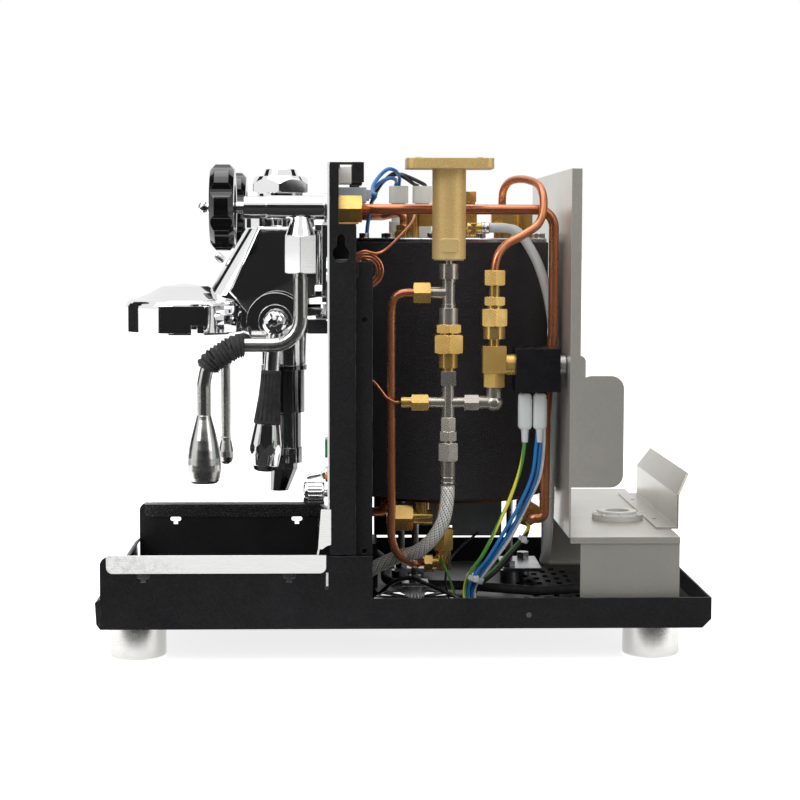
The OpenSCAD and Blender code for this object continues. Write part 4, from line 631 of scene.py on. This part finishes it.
LOOKS = {
    "powder": powder_look(),
    "polished": metal_look("polished_steel", "#dcdcda", 0.09, 0.04, 0.0005, (3, 3, 900), 0.04),
    "trim": trim_look(),
    "sheet": brushed_sheet_look("stainless_sheet", "#cdcac1", 0.3, (1100, 45, 1100), 0.62),
    "panel": panel_look(),
    "satin": metal_look("satin_steel", "#cfcecb", 0.24, 0.06, 0.0007, (5, 5, 1400), 0.06),
    "chrome": metal_look("bright_chrome", "#e9e9ea", 0.045, 0.02, 0.0008, None, 0.02),
    "rubber": rubber_look("black_rubber", "#2b2b2d"),
    "box": plastic_look("box_plastic", "#b9c3cb", 0.45),
    "white": plastic_look("white_plastic", "#eeeeea", 0.38),
    "jacket": jacket_look(),
    "lid": metal_look("lid_metal", "#cfd0d2", 0.28, 0.08, 0.0007, (900, 12, 12), 0.08),
    "cast_brass": cast_brass_look(),
    "brass": metal_look("turned_brass", "#e6c276", 0.21, 0.06, 0.0003, None, 0.05, srgb("#be9048"), 0.8),
    "valve_brass": metal_look("valve_brass", "#ecc878", 0.26, 0.06, 0.0003, None, 0.06, srgb("#cfa050"), 0.6,
                              (0.105, "#d8d8d6")),
    "nickel": metal_look("nickel_plate", "#d6d0c6", 0.26, 0.07, 0.0003, None, 0.05, srgb("#b0a99d"), 0.88),
    "copper": metal_look("copper_tube", "#e0966e", 0.28, 0.06, 0.0, None, 0.06, srgb("#c47450"), 0.82),
    "aged_copper": metal_look("aged_copper", "#8a6a58", 0.45, 0.08, 0.0006, None, 0.14),
    # painted reflection: the group chamber's chrome gets a grey base, so that it looks dark as if it mirrored
    # the dark studio
    "chrome_painted_dark": metal_look("chrome_painted_dark", "#8c8c8e", 0.05, 0.02, 0.0008, None, 0.02),
    "coil": plastic_look("coil_moulding", "#17171a", 0.28, 900),
    "boot": plastic_look("soft_boot", "#efefe9", 0.35, 900, Transmission_Weight=0.2, Subsurface_Weight=0.3),
    "silicone": silicone_look(),
    "zinc": metal_look("zinc_plate", "#a9aaad", 0.34, 0.09, 0.0007, None, 0.12),
    "pump": plastic_look("pump_moulding", "#1d1e20", 0.42, 700),
    "glass": glass_look(),
    "gauge": gauge_look(),
    "panel_parts": panel_parts_look(),
    "black_plastic": plastic_look("black_plastic", "#1a1a1c", 0.35),
    "knob": plastic_look("gloss_black", "#0c0c0d", 0.1, 1500, Coat_Weight=0.5, Coat_Roughness=0.06),
    "needle": plastic_look("needle_paint", "#141414", 0.4),
    "braid": braid_look(),
    "wire_blue": wire_look("wire_blue", "#2374bb"),
    "wire_green": wire_look("wire_green", "#4c8f3a", "#d8cf3c"),
    "wire_white": wire_look("wire_white", "#e9e9e6"),
    "wire_black": wire_look("wire_black", "#1b1b1d"),
}

NODE_LOOKS = {
    "base_pan": "powder", "bay_trims": "trim", "feet": "satin", "foot_pads": "rubber", "foot_nuts": "zinc",
    "front_panel": "panel", "front_frame": "powder", "frame_columns": "powder", "control_box": "box",
    "tank_wall": "sheet", "tank_bridge": "sheet", "tank_guide": "sheet", "tank_coupling": "white",
    "boiler_vessel": "aged_copper", "boiler_jacket": "jacket", "boiler_lid": "lid", "boiler_legs": "zinc",
    "heating_element": "satin", "boiler_fittings": "brass", "terminal_boots": "boot",
    "expansion_valve": "cast_brass", "nickel_tee": "nickel", "check_valves": "brass",
    "nickel_cross": "nickel", "braided_hose": "satin", "solenoid_valve": "valve_brass",
    "solenoid_coil": "coil", "pipe_nuts": "brass", "hot_water_pipe": "copper", "steam_pipe": "copper",
    "feed_pipes": "copper", "thermosiphon_pipes": "copper", "capillaries": "copper",
    "silicone_hoses": "silicone", "pump": "pump", "wiring": "coil",
    "gauges": "gauge", "gauge_glasses": "glass", "panel_controls": "panel_parts",
    "group_body": "chrome", "group_cap": "chrome", "group_chamber": "chrome_painted_dark", "shower_screen": "satin",
    "tap_bodies": "chrome", "hot_water_spindle": "chrome", "steam_spindle": "chrome",
    "hot_water_knob": "knob", "steam_knob": "knob", "hot_water_seat": "white", "steam_seat": "white",
    "hot_water_wand": "satin", "steam_wand": "satin", "hot_water_grip": "rubber", "steam_grip": "rubber",
    "brew_lever": "chrome", "lever_grip": "rubber", "power_toggle": "chrome", "selector_knob": "chrome",
    "boiler_needle": "needle", "pump_needle": "needle",
}


def finish_nodes():
    for node, obj in NODES.items():
        look = LOOKS[NODE_LOOKS[node]]
        if obj.data.materials:
            for i in range(len(obj.material_slots)):
                obj.material_slots[i].material = look
        else:
            obj.data.materials.append(look)


# ---------- Makers of pieces ----------

SHARP_TURNED, SHARP_BLOCK = 35, 40  # degrees at which smooth shading stops


def metres(x, y, h):
    """Place in metres, from mm with the height above the pan's underside."""
    return Vector((x, y, h + FOOT)) * MM


def placed(obj, body=CHASSIS, replaces=()):
    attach(obj, body)
    if replaces:
        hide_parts(*replaces)
    return obj


def piece(name, bm, look, body=CHASSIS, replaces=(), angle=None):
    """Object from a bmesh, shaded smooth up to that angle in degrees if one is given."""
    mesh = bpy.data.meshes.new(name)
    bm.to_mesh(mesh)
    bm.free()
    if angle:
        mesh.shade_smooth()
        mesh.set_sharp_from_angle(angle=math.radians(angle))
    obj = bpy.data.objects.new(name, mesh)
    bpy.context.scene.collection.objects.link(obj)
    obj.data.materials.append(look)
    return placed(obj, body, replaces)


def arc(a, b, c, r, steps):
    """Points of a bend of radius r at corner b, from a towards c."""
    u, v = (b - a).normalized(), (c - b).normalized()
    turn = math.acos(max(-1.0, min(1.0, u.dot(v))))
    if turn < math.radians(1):
        return [b]
    back = min(r * math.tan(turn / 2), 0.48 * (b - a).length, 0.48 * (c - b).length)
    bend = back / math.tan(turn / 2)
    side = (v - u.dot(v) * u).normalized()
    centre = b - back * u + bend * side
    angles = [turn * i / steps for i in range(steps + 1)]
    return [centre + bend * (math.sin(t) * u - math.cos(t) * side) for t in angles]


def rounded(route, r, steps):
    """Straight runs between the points, with bends of radius r."""
    points = [Vector(p) for p in route]
    made = [points[0]]
    for i in range(1, len(points) - 1):
        made += arc(points[i - 1], points[i], points[i + 1], r, steps)
    return made + [points[-1]]


def smooth_route(route, step=3.0):
    """A Catmull-Rom curve through the points, sampled about every step mm."""
    p = [Vector(q) for q in route]
    p = [2 * p[0] - p[1]] + p + [2 * p[-1] - p[-2]]
    made = []
    for i in range(1, len(p) - 2):
        before, here, there, after = p[i - 1:i + 3]
        n = max(2, int((there - here).length / step))
        for k in range(n):
            t = k / n
            square = (2 * before - 5 * here + 4 * there - after) * t * t
            cube = (3 * here - before - 3 * there + after) * t ** 3
            made.append(0.5 * (2 * here + (there - before) * t + square + cube))
    return made + [p[-2]]


def circle(centre, r, across, other, sides):
    """Corners of a regular polygon round a centre, all in metres."""
    angles = [2 * math.pi * k / sides for k in range(sides)]
    return [centre + r * (math.cos(a) * across + math.sin(a) * other) for a in angles]


def tube(name, points, radius, look, body=CHASSIS, sides=24, replaces=(), start=(0, 0, 1)):
    """Round tube along points in mm above the pan's underside; radius is a number or one for each point."""
    pts = [metres(*p) for p in points]
    n = len(pts)
    radii = [radius] * n if isinstance(radius, (int, float)) else list(radius)
    heads = []
    for i in range(n):
        ahead = (pts[i + 1] - pts[i]).normalized() if i < n - 1 else Vector()
        behind = (pts[i] - pts[i - 1]).normalized() if i > 0 else Vector()
        heads.append((ahead + behind).normalized())
    across = Vector(start) if abs(heads[0].dot(Vector(start))) < 0.9 else Vector((1, 0, 0))
    bm = bmesh.new()
    uv = bm.loops.layers.uv.new("UVMap")
    circles, lengths, run = [], [], 0.0
    for i in range(n):
        if i:
            run += (pts[i] - pts[i - 1]).length
        across = (across - across.dot(heads[i]) * heads[i]).normalized()
        corners = circle(pts[i], radii[i] * MM, across, heads[i].cross(across), sides)
        circles.append([bm.verts.new(corner) for corner in corners])
        lengths.append(run)
    for i in range(n - 1):
        here, there = circles[i], circles[i + 1]
        for k in range(sides):
            k2 = (k + 1) % sides
            face = bm.faces.new((here[k], here[k2], there[k2], there[k]))
            face.smooth = True
            for loop, (u, v) in zip(face.loops, ((k, i), (k + 1, i), (k + 1, i + 1), (k, i + 1))):
                loop[uv].uv = (u / sides, lengths[v])
    for end in (list(reversed(circles[0])), circles[-1]):
        bm.faces.new(end).smooth = False
    return piece(name, bm, look, body, replaces)


def lathe(name, profile, place, axis, sides, look, slot):
    """Solid turned from (radius, length) points along an axis."""
    base = metres(*place)
    along = Vector(axis).normalized()
    across = Vector((0, 0, 1)) if abs(along.z) < 0.9 else Vector((1, 0, 0))
    across = (across - across.dot(along) * along).normalized()
    other = along.cross(across)
    verts, faces = [], []
    for r, t in profile:
        verts += circle(base + along * t * MM, max(r, 0.01) * MM, across, other, sides)
    for i in range(len(profile) - 1):
        for k in range(sides):
            k2 = (k + 1) % sides
            faces.append((i * sides + k, i * sides + k2, (i + 1) * sides + k2, (i + 1) * sides + k))
    last = (len(profile) - 1) * sides
    faces.append(tuple(reversed(range(sides))))
    faces.append(tuple(last + k for k in range(sides)))
    obj = add_mesh(name, verts, faces)
    obj.data.set_sharp_from_angle(angle=math.radians(SHARP_TURNED))
    obj.data.materials.append(look)
    return placed(obj)


def block(name, low, high, bevel, look, slot):
    """Box with rounded edges between two corners in mm above the pan's underside."""
    lo, hi = Vector(low), Vector(high)
    bm = bmesh.new()
    bmesh.ops.create_cube(bm, size=1.0)
    for v in bm.verts:
        corner = Vector([(lo[i] + hi[i]) / 2 + v.co[i] * (hi[i] - lo[i]) for i in range(3)])
        v.co = metres(*corner)
    bmesh.ops.bevel(bm, geom=list(bm.edges), offset=bevel * MM, segments=4, profile=0.5, affect="EDGES")
    return piece(name, bm, look, angle=SHARP_BLOCK)


def plate(name, outline, back, front, bevel, segments, look, rim=False, angle=None):
    """Plate between two x places in mm; outline is (y, height) points. rim rounds the front's edges alone."""
    bm = bmesh.new()
    inner = [bm.verts.new(metres(back, y, h)) for y, h in outline]
    outer = [bm.verts.new(metres(front, y, h)) for y, h in outline]
    bm.faces.new(inner)
    bm.faces.new(list(reversed(outer)))
    for k in range(len(outline)):
        k2 = (k + 1) % len(outline)
        bm.faces.new((inner[k], outer[k], outer[k2], inner[k2]))
    bmesh.ops.recalc_face_normals(bm, faces=list(bm.faces))
    edges = [e for e in bm.edges if not rim or all(v in outer for v in e.verts)]
    bmesh.ops.bevel(bm, geom=edges, offset=bevel * MM, segments=segments, profile=0.5, affect="EDGES")
    return piece(name, bm, look, angle=angle)


def strap(name, place, axis, radius, width):
    """Cable tie: a thin band round a bundle with its square head."""
    look, slot = LOOKS["silicone"], "boot_cover"
    steps = ((0, 0), (0.9, 0.2), (1.0, width / 2), (0.9, width - 0.2), (0, width))
    band = [(radius + out, along) for out, along in steps]
    lathe(name, band, place, axis, 28, look, slot)
    head = Vector(place) + Vector(axis).normalized() * (width / 2)
    low, high = Vector((radius - 0.5, -2.2, -1.6)), Vector((radius + 4, 2.2, 3.2))
    block(name + "_head", head + low, head + high, 0.5, look, slot)


# ---------- Pipes, hoses and wires, places in mm as in the part's source ----------

FRAME_BACK = -56.8
TAP_X = 105.0
NUT_Y = -81.5
LID = 303.3
PIPE_R, FEED_R, BRAID_R, SILICONE_R, CAPILLARY_R = 4.0, 3.25, 5.5, 4.0, 1.05
DROP_R, RETURN_R, HEATER_R, PUMP_LEAD_R, FINE_LEAD_R = 1.5, 1.4, 1.6, 1.7, 1.0

# Slack winding of one gauge line: first and added x, its axis's y and height, first and added radius, turns
WINDING = (121, 8, -30, 278, 8, 7, 3)
WINDING_STEP = 12  # degrees


def copper(name, points, radius=PIPE_R, replaces=(), sides=24):
    tube(name, points, radius, LOOKS["copper"], sides=sides, replaces=replaces)


def copper_pipes():
    copper("hot_water_line", rounded([
        (105, FRAME_BACK, 326), (105, 0, 326), (98, 120.5, 326), (98, 120.5, 230), (98, 115, 160),
        (98, 114.5, 78), (98, 104, 78), (60, 104, 78)], 14, 12), replaces=("hot_water_pipe",))
    copper("steam_line", rounded([
        (-44, 22, LID + 6), (-44, 22, 326), (-105, 10, 326), (-105, FRAME_BACK, 326)], 12, 12),
        replaces=("steam_pipe",))
    copper("exchanger_feed_line", smooth_route([
        (126, 20.7, 260.5), (126, 10, 260.5), (126, -3, 259.5), (125.6, -9.3, 251), (124, -10, 215),
        (120, -9.6, 152), (116, -9.2, 95), (112, -9.2, 66), (106, -4, 51), (95, 6, 42), (80, 11, 37.6),
        (70, 13.5, 37), (66, 17.5, 37), (66, 26, 37)]), FEED_R, ("feed_pipes",))
    copper("boiler_fill_line", smooth_route([
        (126, 71, 266.3), (126, 71, 278), (125, 73.3, 289), (122, 80, 298), (118, 93.5, 305.5),
        (113, 106, 314), (109.5, 110.5, 325), (102, 111, 337.5), (88, 108, 346.5), (66, 99, 351),
        (46, 90, 350), (32, 85.6, 343.5), (25.5, 85, 335), (25, 85, LID + 21.5)]), FEED_R)
    copper("siphon_upper_line", rounded([
        (12, 4, LID + 6), (12, 4, 326), (0, -14, 322), (0, FRAME_BACK, 322)], 6, 10),
        replaces=("thermosiphon_pipes",))
    copper("siphon_lower_line", rounded([
        (0, FRAME_BACK, 235), (0, -46.4, 235), (0, -46.4, 70), (0, -11, 70), (0, -11, 87)], 5, 10))
    x, dx, y, h, r, dr, turns = WINDING
    full = 360 * turns
    wound = []
    for a in range(0, full + 1, WINDING_STEP):
        reach, angle = r + dr * a / full, math.radians(a)
        wound.append(Vector((x + dx * a / full, y + reach * math.sin(angle), h + reach * math.cos(angle))))
    first = rounded([(68, -32.8, 262), (68, -26.8, 262), (102, -32, 289), wound[0]], 6, 6)
    last = smooth_route([
        wound[-1], (128, -22, 291), (124, -15, 294), (110, -7, 300.5), (80, 7.8, 316), (60, 11, 327),
        (48, 10.4, 329.5), (44, 10, LID + 22), (44, 10, LID + 20.5)])
    copper("gauge_line_wound", first + wound[1:-1] + last, CAPILLARY_R, ("capillaries",), 12)
    copper("gauge_line_straight", rounded([
        (-68, -32.8, 262), (-68, -28.8, 262), (-68, -28.8, 230), (-60, -54, 214), (40, -54, 214),
        (118, -36, 200), (125, -22, 189), (126, -14, 178.3), (126, -7.7, 174.3), (126, -2.2, 174.3)], 8, 8),
        CAPILLARY_R, sides=12)


def hoses():
    tube("braided_line", smooth_route([
        (126, 35, 108.4), (126, 34.7, 98), (124.5, 31.5, 80), (118, 23, 64), (106, 11.5, 52.5), (92, -3, 46),
        (86, -18, 38.5), (82, -31, 29.5), (76, -37, 26), (66, -37, 26)]), BRAID_R, LOOKS["braid"],
        sides=32, replaces=("braided_hose",))
    tube("vent_tube", smooth_route([
        (42, 72, LID + 8.4), (43, 78, LID + 8.5), (50, 86, 311.5), (60, 94, 309), (68, 102, 299),
        (76, 110, 283), (82, 116, 264), (86, 120, 243), (88, 122, 220), (87.5, 122, 190), (84, 122, 150),
        (80, 121, 110), (74, 121, 78), (60, 121, 50), (40, 121, 34)]),
        SILICONE_R, LOOKS["silicone"], replaces=("silicone_hoses",))
    tube("supply_tube", rounded([
        (48, 181, 40.6), (48, 181, 14), (38, 116, 8), (10, 54, 8), (0, -5, 8), (-14, -10.5, 10),
        (-70, -10.5, 18), (-78, -25, 26), (-76, -37, 26), (-62, -37, 26)], 20, 6),
        SILICONE_R, LOOKS["rubber"])


# Wires from the coil's tabs down to the pan: look and points
DROPS = (
    ("wire_green", (
        (126, 96, 177), (126, 96, 167), (126, 95.4, 141), (125, 92.2, 120.5), (122, 84.4, 96.6),
        (118, 74.2, 72.6), (114, 64, 51), (111, 56.1, 39), (109, 50.6, 27), (110, 50, 14), (114, 53, 5))),
    ("wire_blue", (
        (126, 107, 177), (126, 107, 167), (125.5, 104.9, 140), (124, 101.9, 116), (121, 92.5, 92.3),
        (117, 80.8, 70), (113, 67.4, 46.7), (110, 59.5, 36.3), (108, 53.2, 23), (108, 52, 12),
        (112, 56, 4.5))),
    ("wire_blue", (
        (126, 110, 177), (126, 110, 167), (124.5, 108.3, 139), (122, 105.3, 113.6), (118, 95.9, 89.6),
        (114, 84.1, 67.2), (110, 70.7, 46.3), (107, 62.8, 34.3), (105, 56.5, 22), (105, 56, 11),
        (109, 60, 4.5))),
    ("wire_white", (
        (123, 110, 177), (123, 110.5, 167), (121, 111.4, 143.5), (118, 108.9, 115.5), (114, 100.3, 93.9),
        (110, 87.7, 66.6), (107, 75, 47.3), (104, 64.7, 32.8), (102, 58.4, 22), (102, 59, 11),
        (106, 63, 4.5))),
)

# Wires over the boiler, from the frame to the heating element
HEATER_LEADS = (
    ("wire_blue", (
        (63, -25, 338.5), (63, -21, 338.5), (48, -23, 340), (28, -22.5, 346.5), (20, -17, 354.7),
        (18, -10, 360.5), (10, -3.6, 359.3), (-8, 0.4, 355), (-17, 0.4, 350), (-18, 0, LID + 44))),
    ("wire_blue", (
        (60, -25, 338.5), (60, -22, 338), (46, -24, 336.5), (24, -23.5, 341), (20, -17, 348.9),
        (17, -9, 353), (6, -4, 352.5), (-10, -2, 350.5), (-15, -2.5, 348), (-16, -2.5, LID + 44))),
    ("wire_black", (
        (-37, -25, 338.5), (-37, -21, 339), (-28, -14, 350), (-12, -4, 358), (-6, 4, 354.6),
        (-10, 11, 350), (-18, 14, 348.5), (-18, 17, LID + 44))),
    ("wire_black", (
        (-34, -25, 338.5), (-34, -21, 340), (-24, -12, 352), (-10, -1, 357.2), (-8, 9, 354.4),
        (-13, 19, 350), (-17, 22, 348.6), (-18, 23, LID + 44))),
    ("wire_blue", (
        (66, -25, 338.5), (66, -21.5, 337), (50, -24, 333), (28, -25, 326), (20, -27.5, 309),
        (10, -29, 270), (-4, -31, 160), (-10, -34, 70), (-10, -37, 44.5))),
)


def wire(name, colour, route, radius, sides=14, replaces=()):
    tube(name, smooth_route(route), radius, LOOKS[colour], sides=sides, replaces=replaces)


def wires():
    for i, (colour, route) in enumerate(DROPS):
        wire(f"coil_lead_{i}", colour, route, DROP_R, replaces=() if i else ("wiring",))
    for i, colour in enumerate(("wire_green", "wire_black", "wire_black")):
        wire(f"return_lead_{i}", colour, (
            (100 + 2.4 * i, 54 + i, 6), (99, 56 + i, 16), (98 + i, 63 + i, 25.6),
            (96 + i, 75 + 1.4 * i, 36.2), (94 + i, 87 + 1.4 * i, 50), (91 + i, 97.4 + i, 60.6),
            (84 - 2 * i, 103.5, 69), (76 - 2 * i, 102 - 2 * i, 71)), RETURN_R)
    wire("pump_lead", "wire_black", (
        (108, 55, 4.5), (104, 45, 14), (96, 34, 18), (84, 22, 21.4), (76, 8, 25.6), (72, -6, 22),
        (66, -14, 14), (40, -18, 6), (24, -20, 5), (12, -22, 5)), PUMP_LEAD_R)
    wire("earth_lead", "wire_green", (
        (66, 35, 44), (74, 33, 42.5), (86, 34.5, 38), (90, 38, 30), (91, 42, 18), (90, 45, 5)),
        FINE_LEAD_R, 12)
    wire("probe_lead", "wire_black", (
        (20, 84, 88), (30, 83, 74), (42, 74, 66), (54, 62, 58), (64, 50, 50), (74, 40, 40), (80, 36, 24),
        (82, 40, 5)), FINE_LEAD_R, 12)
    for i, (colour, route) in enumerate(HEATER_LEADS):
        wire(f"heater_lead_{i}", colour, route, HEATER_R)


# ---------- Small parts ----------

UP = (0, 0, 1)

# Profiles of turned parts that come twice: (radius, length)
BOOT_NECK = ((2.2, 0), (2.6, 0.6), (2.9, 8), (3.4, 12))
FLOOR_SCREW = ((4.6, 0), (4.6, 1.2), (3.6, 2.6), (1.6, 3.0), (0, 3.1))
HOSE_FERRULE = ((5.9, 0), (6.4, 0.6), (6.4, 1.6), (5.9, 2.0))

# How each is made, its name, its shape as its maker takes it, look and slot
SMALL_PARTS = (
    (block, "frame_connector_white", ((50, -56.4, 346.5), (72, -40.9, 361), 1.2), "white", "grey_box"),
    (block, "frame_connector_black", ((52, -40.8, 345.5), (70, -32.2, 364.5), 1.2), "black_plastic",
     "wire_sleeve"),
    (block, "frame_relay", ((-38, -56.2, 274), (-6, -36, 314), 1.2), "black_plastic", "wire_sleeve"),
    # painted shade: a black sheet just under the pan's slots, so that they look dark as if the floor below
    # lay in shade
    (block, "slot_gauze", ((-124, 102, -1.0), (112, 158, -0.3), 0.2), "rubber", "black_coat"),
    (block, "cradle_shield", ((-54, -20, 42), (-52.1, 46, 86), 0.6), "powder", "black_coat"),
    (lathe, "column_screw", (((4.2, 0), (4.2, 0.9), (3.2, 2.0), (0, 2.4)), (151.1, -44, 83.6), (1, 0, 0), 32),
     "polished", "stainless_satin"),
    (lathe, "arm_screw", (((2.6, 0), (2.6, 1), (3.4, 1.4), (3.4, 8), (3.0, 8.6), (1.2, 9)), (0, -148, 283),
                          (0, -0.75, 0.66), 24), "satin", "chrome"),
    (block, "column_connector", ((106, -49, 186.5), (118, -43, 197), 0.8), "white", "grey_box"),
    (block, "column_clip", ((104, -43.4, 180), (120, -35.5, 190.5), 0.8), "box", "grey_box"),
    (lathe, "floor_screw_0", (FLOOR_SCREW, (117, 60, 2), UP, 32), "satin", "stainless_satin"),
    (lathe, "floor_screw_1", (FLOOR_SCREW, (117, -45, 2), UP, 32), "satin", "stainless_satin"),
    (lathe, "vent_ferrule", (((4.3, 0), (4.9, 0.5), (4.9, 2.6), (4.5, 3.2), (4.9, 3.8), (4.9, 6), (4.2, 6.6)),
                             (42, 66.5, 311.7), (0, 1, 0), 32), "satin", "nickel"),
    (lathe, "hose_ferrule_0", (HOSE_FERRULE, (126, 35, 109.4), UP, 36), "satin", "nickel"),
    (lathe, "hose_ferrule_1", (HOSE_FERRULE, (126, 35, 113.4), UP, 36), "satin", "nickel"),
)


def small_parts():
    for i, y in enumerate((95.8, 107.6)):
        block(f"spade_boot_{i}", (121.5, y - 5.6, 152.5), (130.5, y + 5.6, 182.5), 3.6,
              LOOKS["silicone"], "boot_cover")
        lathe(f"spade_boot_neck_{i}", BOOT_NECK, (126, y, 142.5), UP, 24, LOOKS["silicone"], "boot_cover")
    strap("cable_tie_low", (107, 57.6, 29), (0.1, 0.45, 1), 6.4, 4.0)
    strap("cable_tie_high", (92.5, 97.2, 58.5), (0, 0.7, 1), 3.6, 3.6)
    for make, name, shape, look, slot in SMALL_PARTS:
        make(name, *shape, LOOKS[look], slot)


# Outlines of plates: (y, height)
FLANK = ((-118.2, 312.5), (-68, 312.5), (-66, 310), (-66, 254), (-84, 251.5), (-113, 226), (-124, 236),
         (-143, 258))
FLANGE = ((-65.0, 93.6), (-57.2, 93.6), (-57.2, 66), (-60.4, 65), (-64.2, 62.4), (-67.3, 62.8))


def plates():
    """Flat cheeks of the group casting, the flange at the panel's foot and the tongue behind a slot."""
    for way, side in (("far", -1), ("near", 1)):
        plate(f"group_flank_{way}", FLANK, side * 14, side * 24, 3, 5, LOOKS["chrome"], rim=True,
              angle=SHARP_BLOCK)
    plate("panel_flange", FLANGE, 158.3, 157.3, 0.2, 2, LOOKS["trim"])
    block("panel_tongue", (157.35, -61.2, 33.5), (158.3, -58.3, 47.0), 0.2, LOOKS["trim"], "stainless_satin")


# Steam and water wands: name, x, reach of the bend and radius of the tube
WANDS = (("hot_water", TAP_X, 77, 5.5), ("steam", -TAP_X, 71, 4.5))
# A grip starts this far in front of the nuts and ends at this height, mm
GRIP_START, GRIP_END = 38, 198.5
GRIP_RIBS = 11
GRIP_WALL, GRIP_SWELL, RIB_HEIGHT = 0.7, 2.1, 1.5


def wand_grips():
    """Ribbed sleeves over the wands' bends, following the tubes' own run."""
    for name, x, reach, r in WANDS:
        end_y = NUT_Y - reach
        run = rounded([
            (x, NUT_Y, 272), (x, NUT_Y, 218), (x, end_y + 26, 218), (x, end_y + 3, 203), (x, end_y, 187),
            (x, end_y, 150)], 22, 24)
        fine = smooth_route([p for p in run if p.y < NUT_Y - GRIP_START and p.z > GRIP_END], 0.45)
        total = sum((b - a).length for a, b in zip(fine, fine[1:]))
        far, radii = 0.0, []
        for k, point in enumerate(fine):
            if k:
                far += (point - fine[k - 1]).length
            rib = 0.5 + 0.5 * math.sin(2 * math.pi * GRIP_RIBS * far / total)
            ends = min(1.0, far / 2.0 + 0.35, (total - far) / 2.0 + 0.35)
            radii.append(r + GRIP_WALL + (GRIP_SWELL + RIB_HEIGHT * rib ** 0.6) * ends)
        tube(f"{name}_ribbed_grip", fine, radii, LOOKS["rubber"], f"{name}_wand", 40,
             (f"{name}_grip",), (1, 0, 0))


add_camera()
add_floor()
add_world()
for lamp_row in LAMPS:
    add_lamp(*lamp_row)
add_flags()
finish_nodes()
copper_pipes()
hoses()
wires()
small_parts()
plates()
wand_grips()
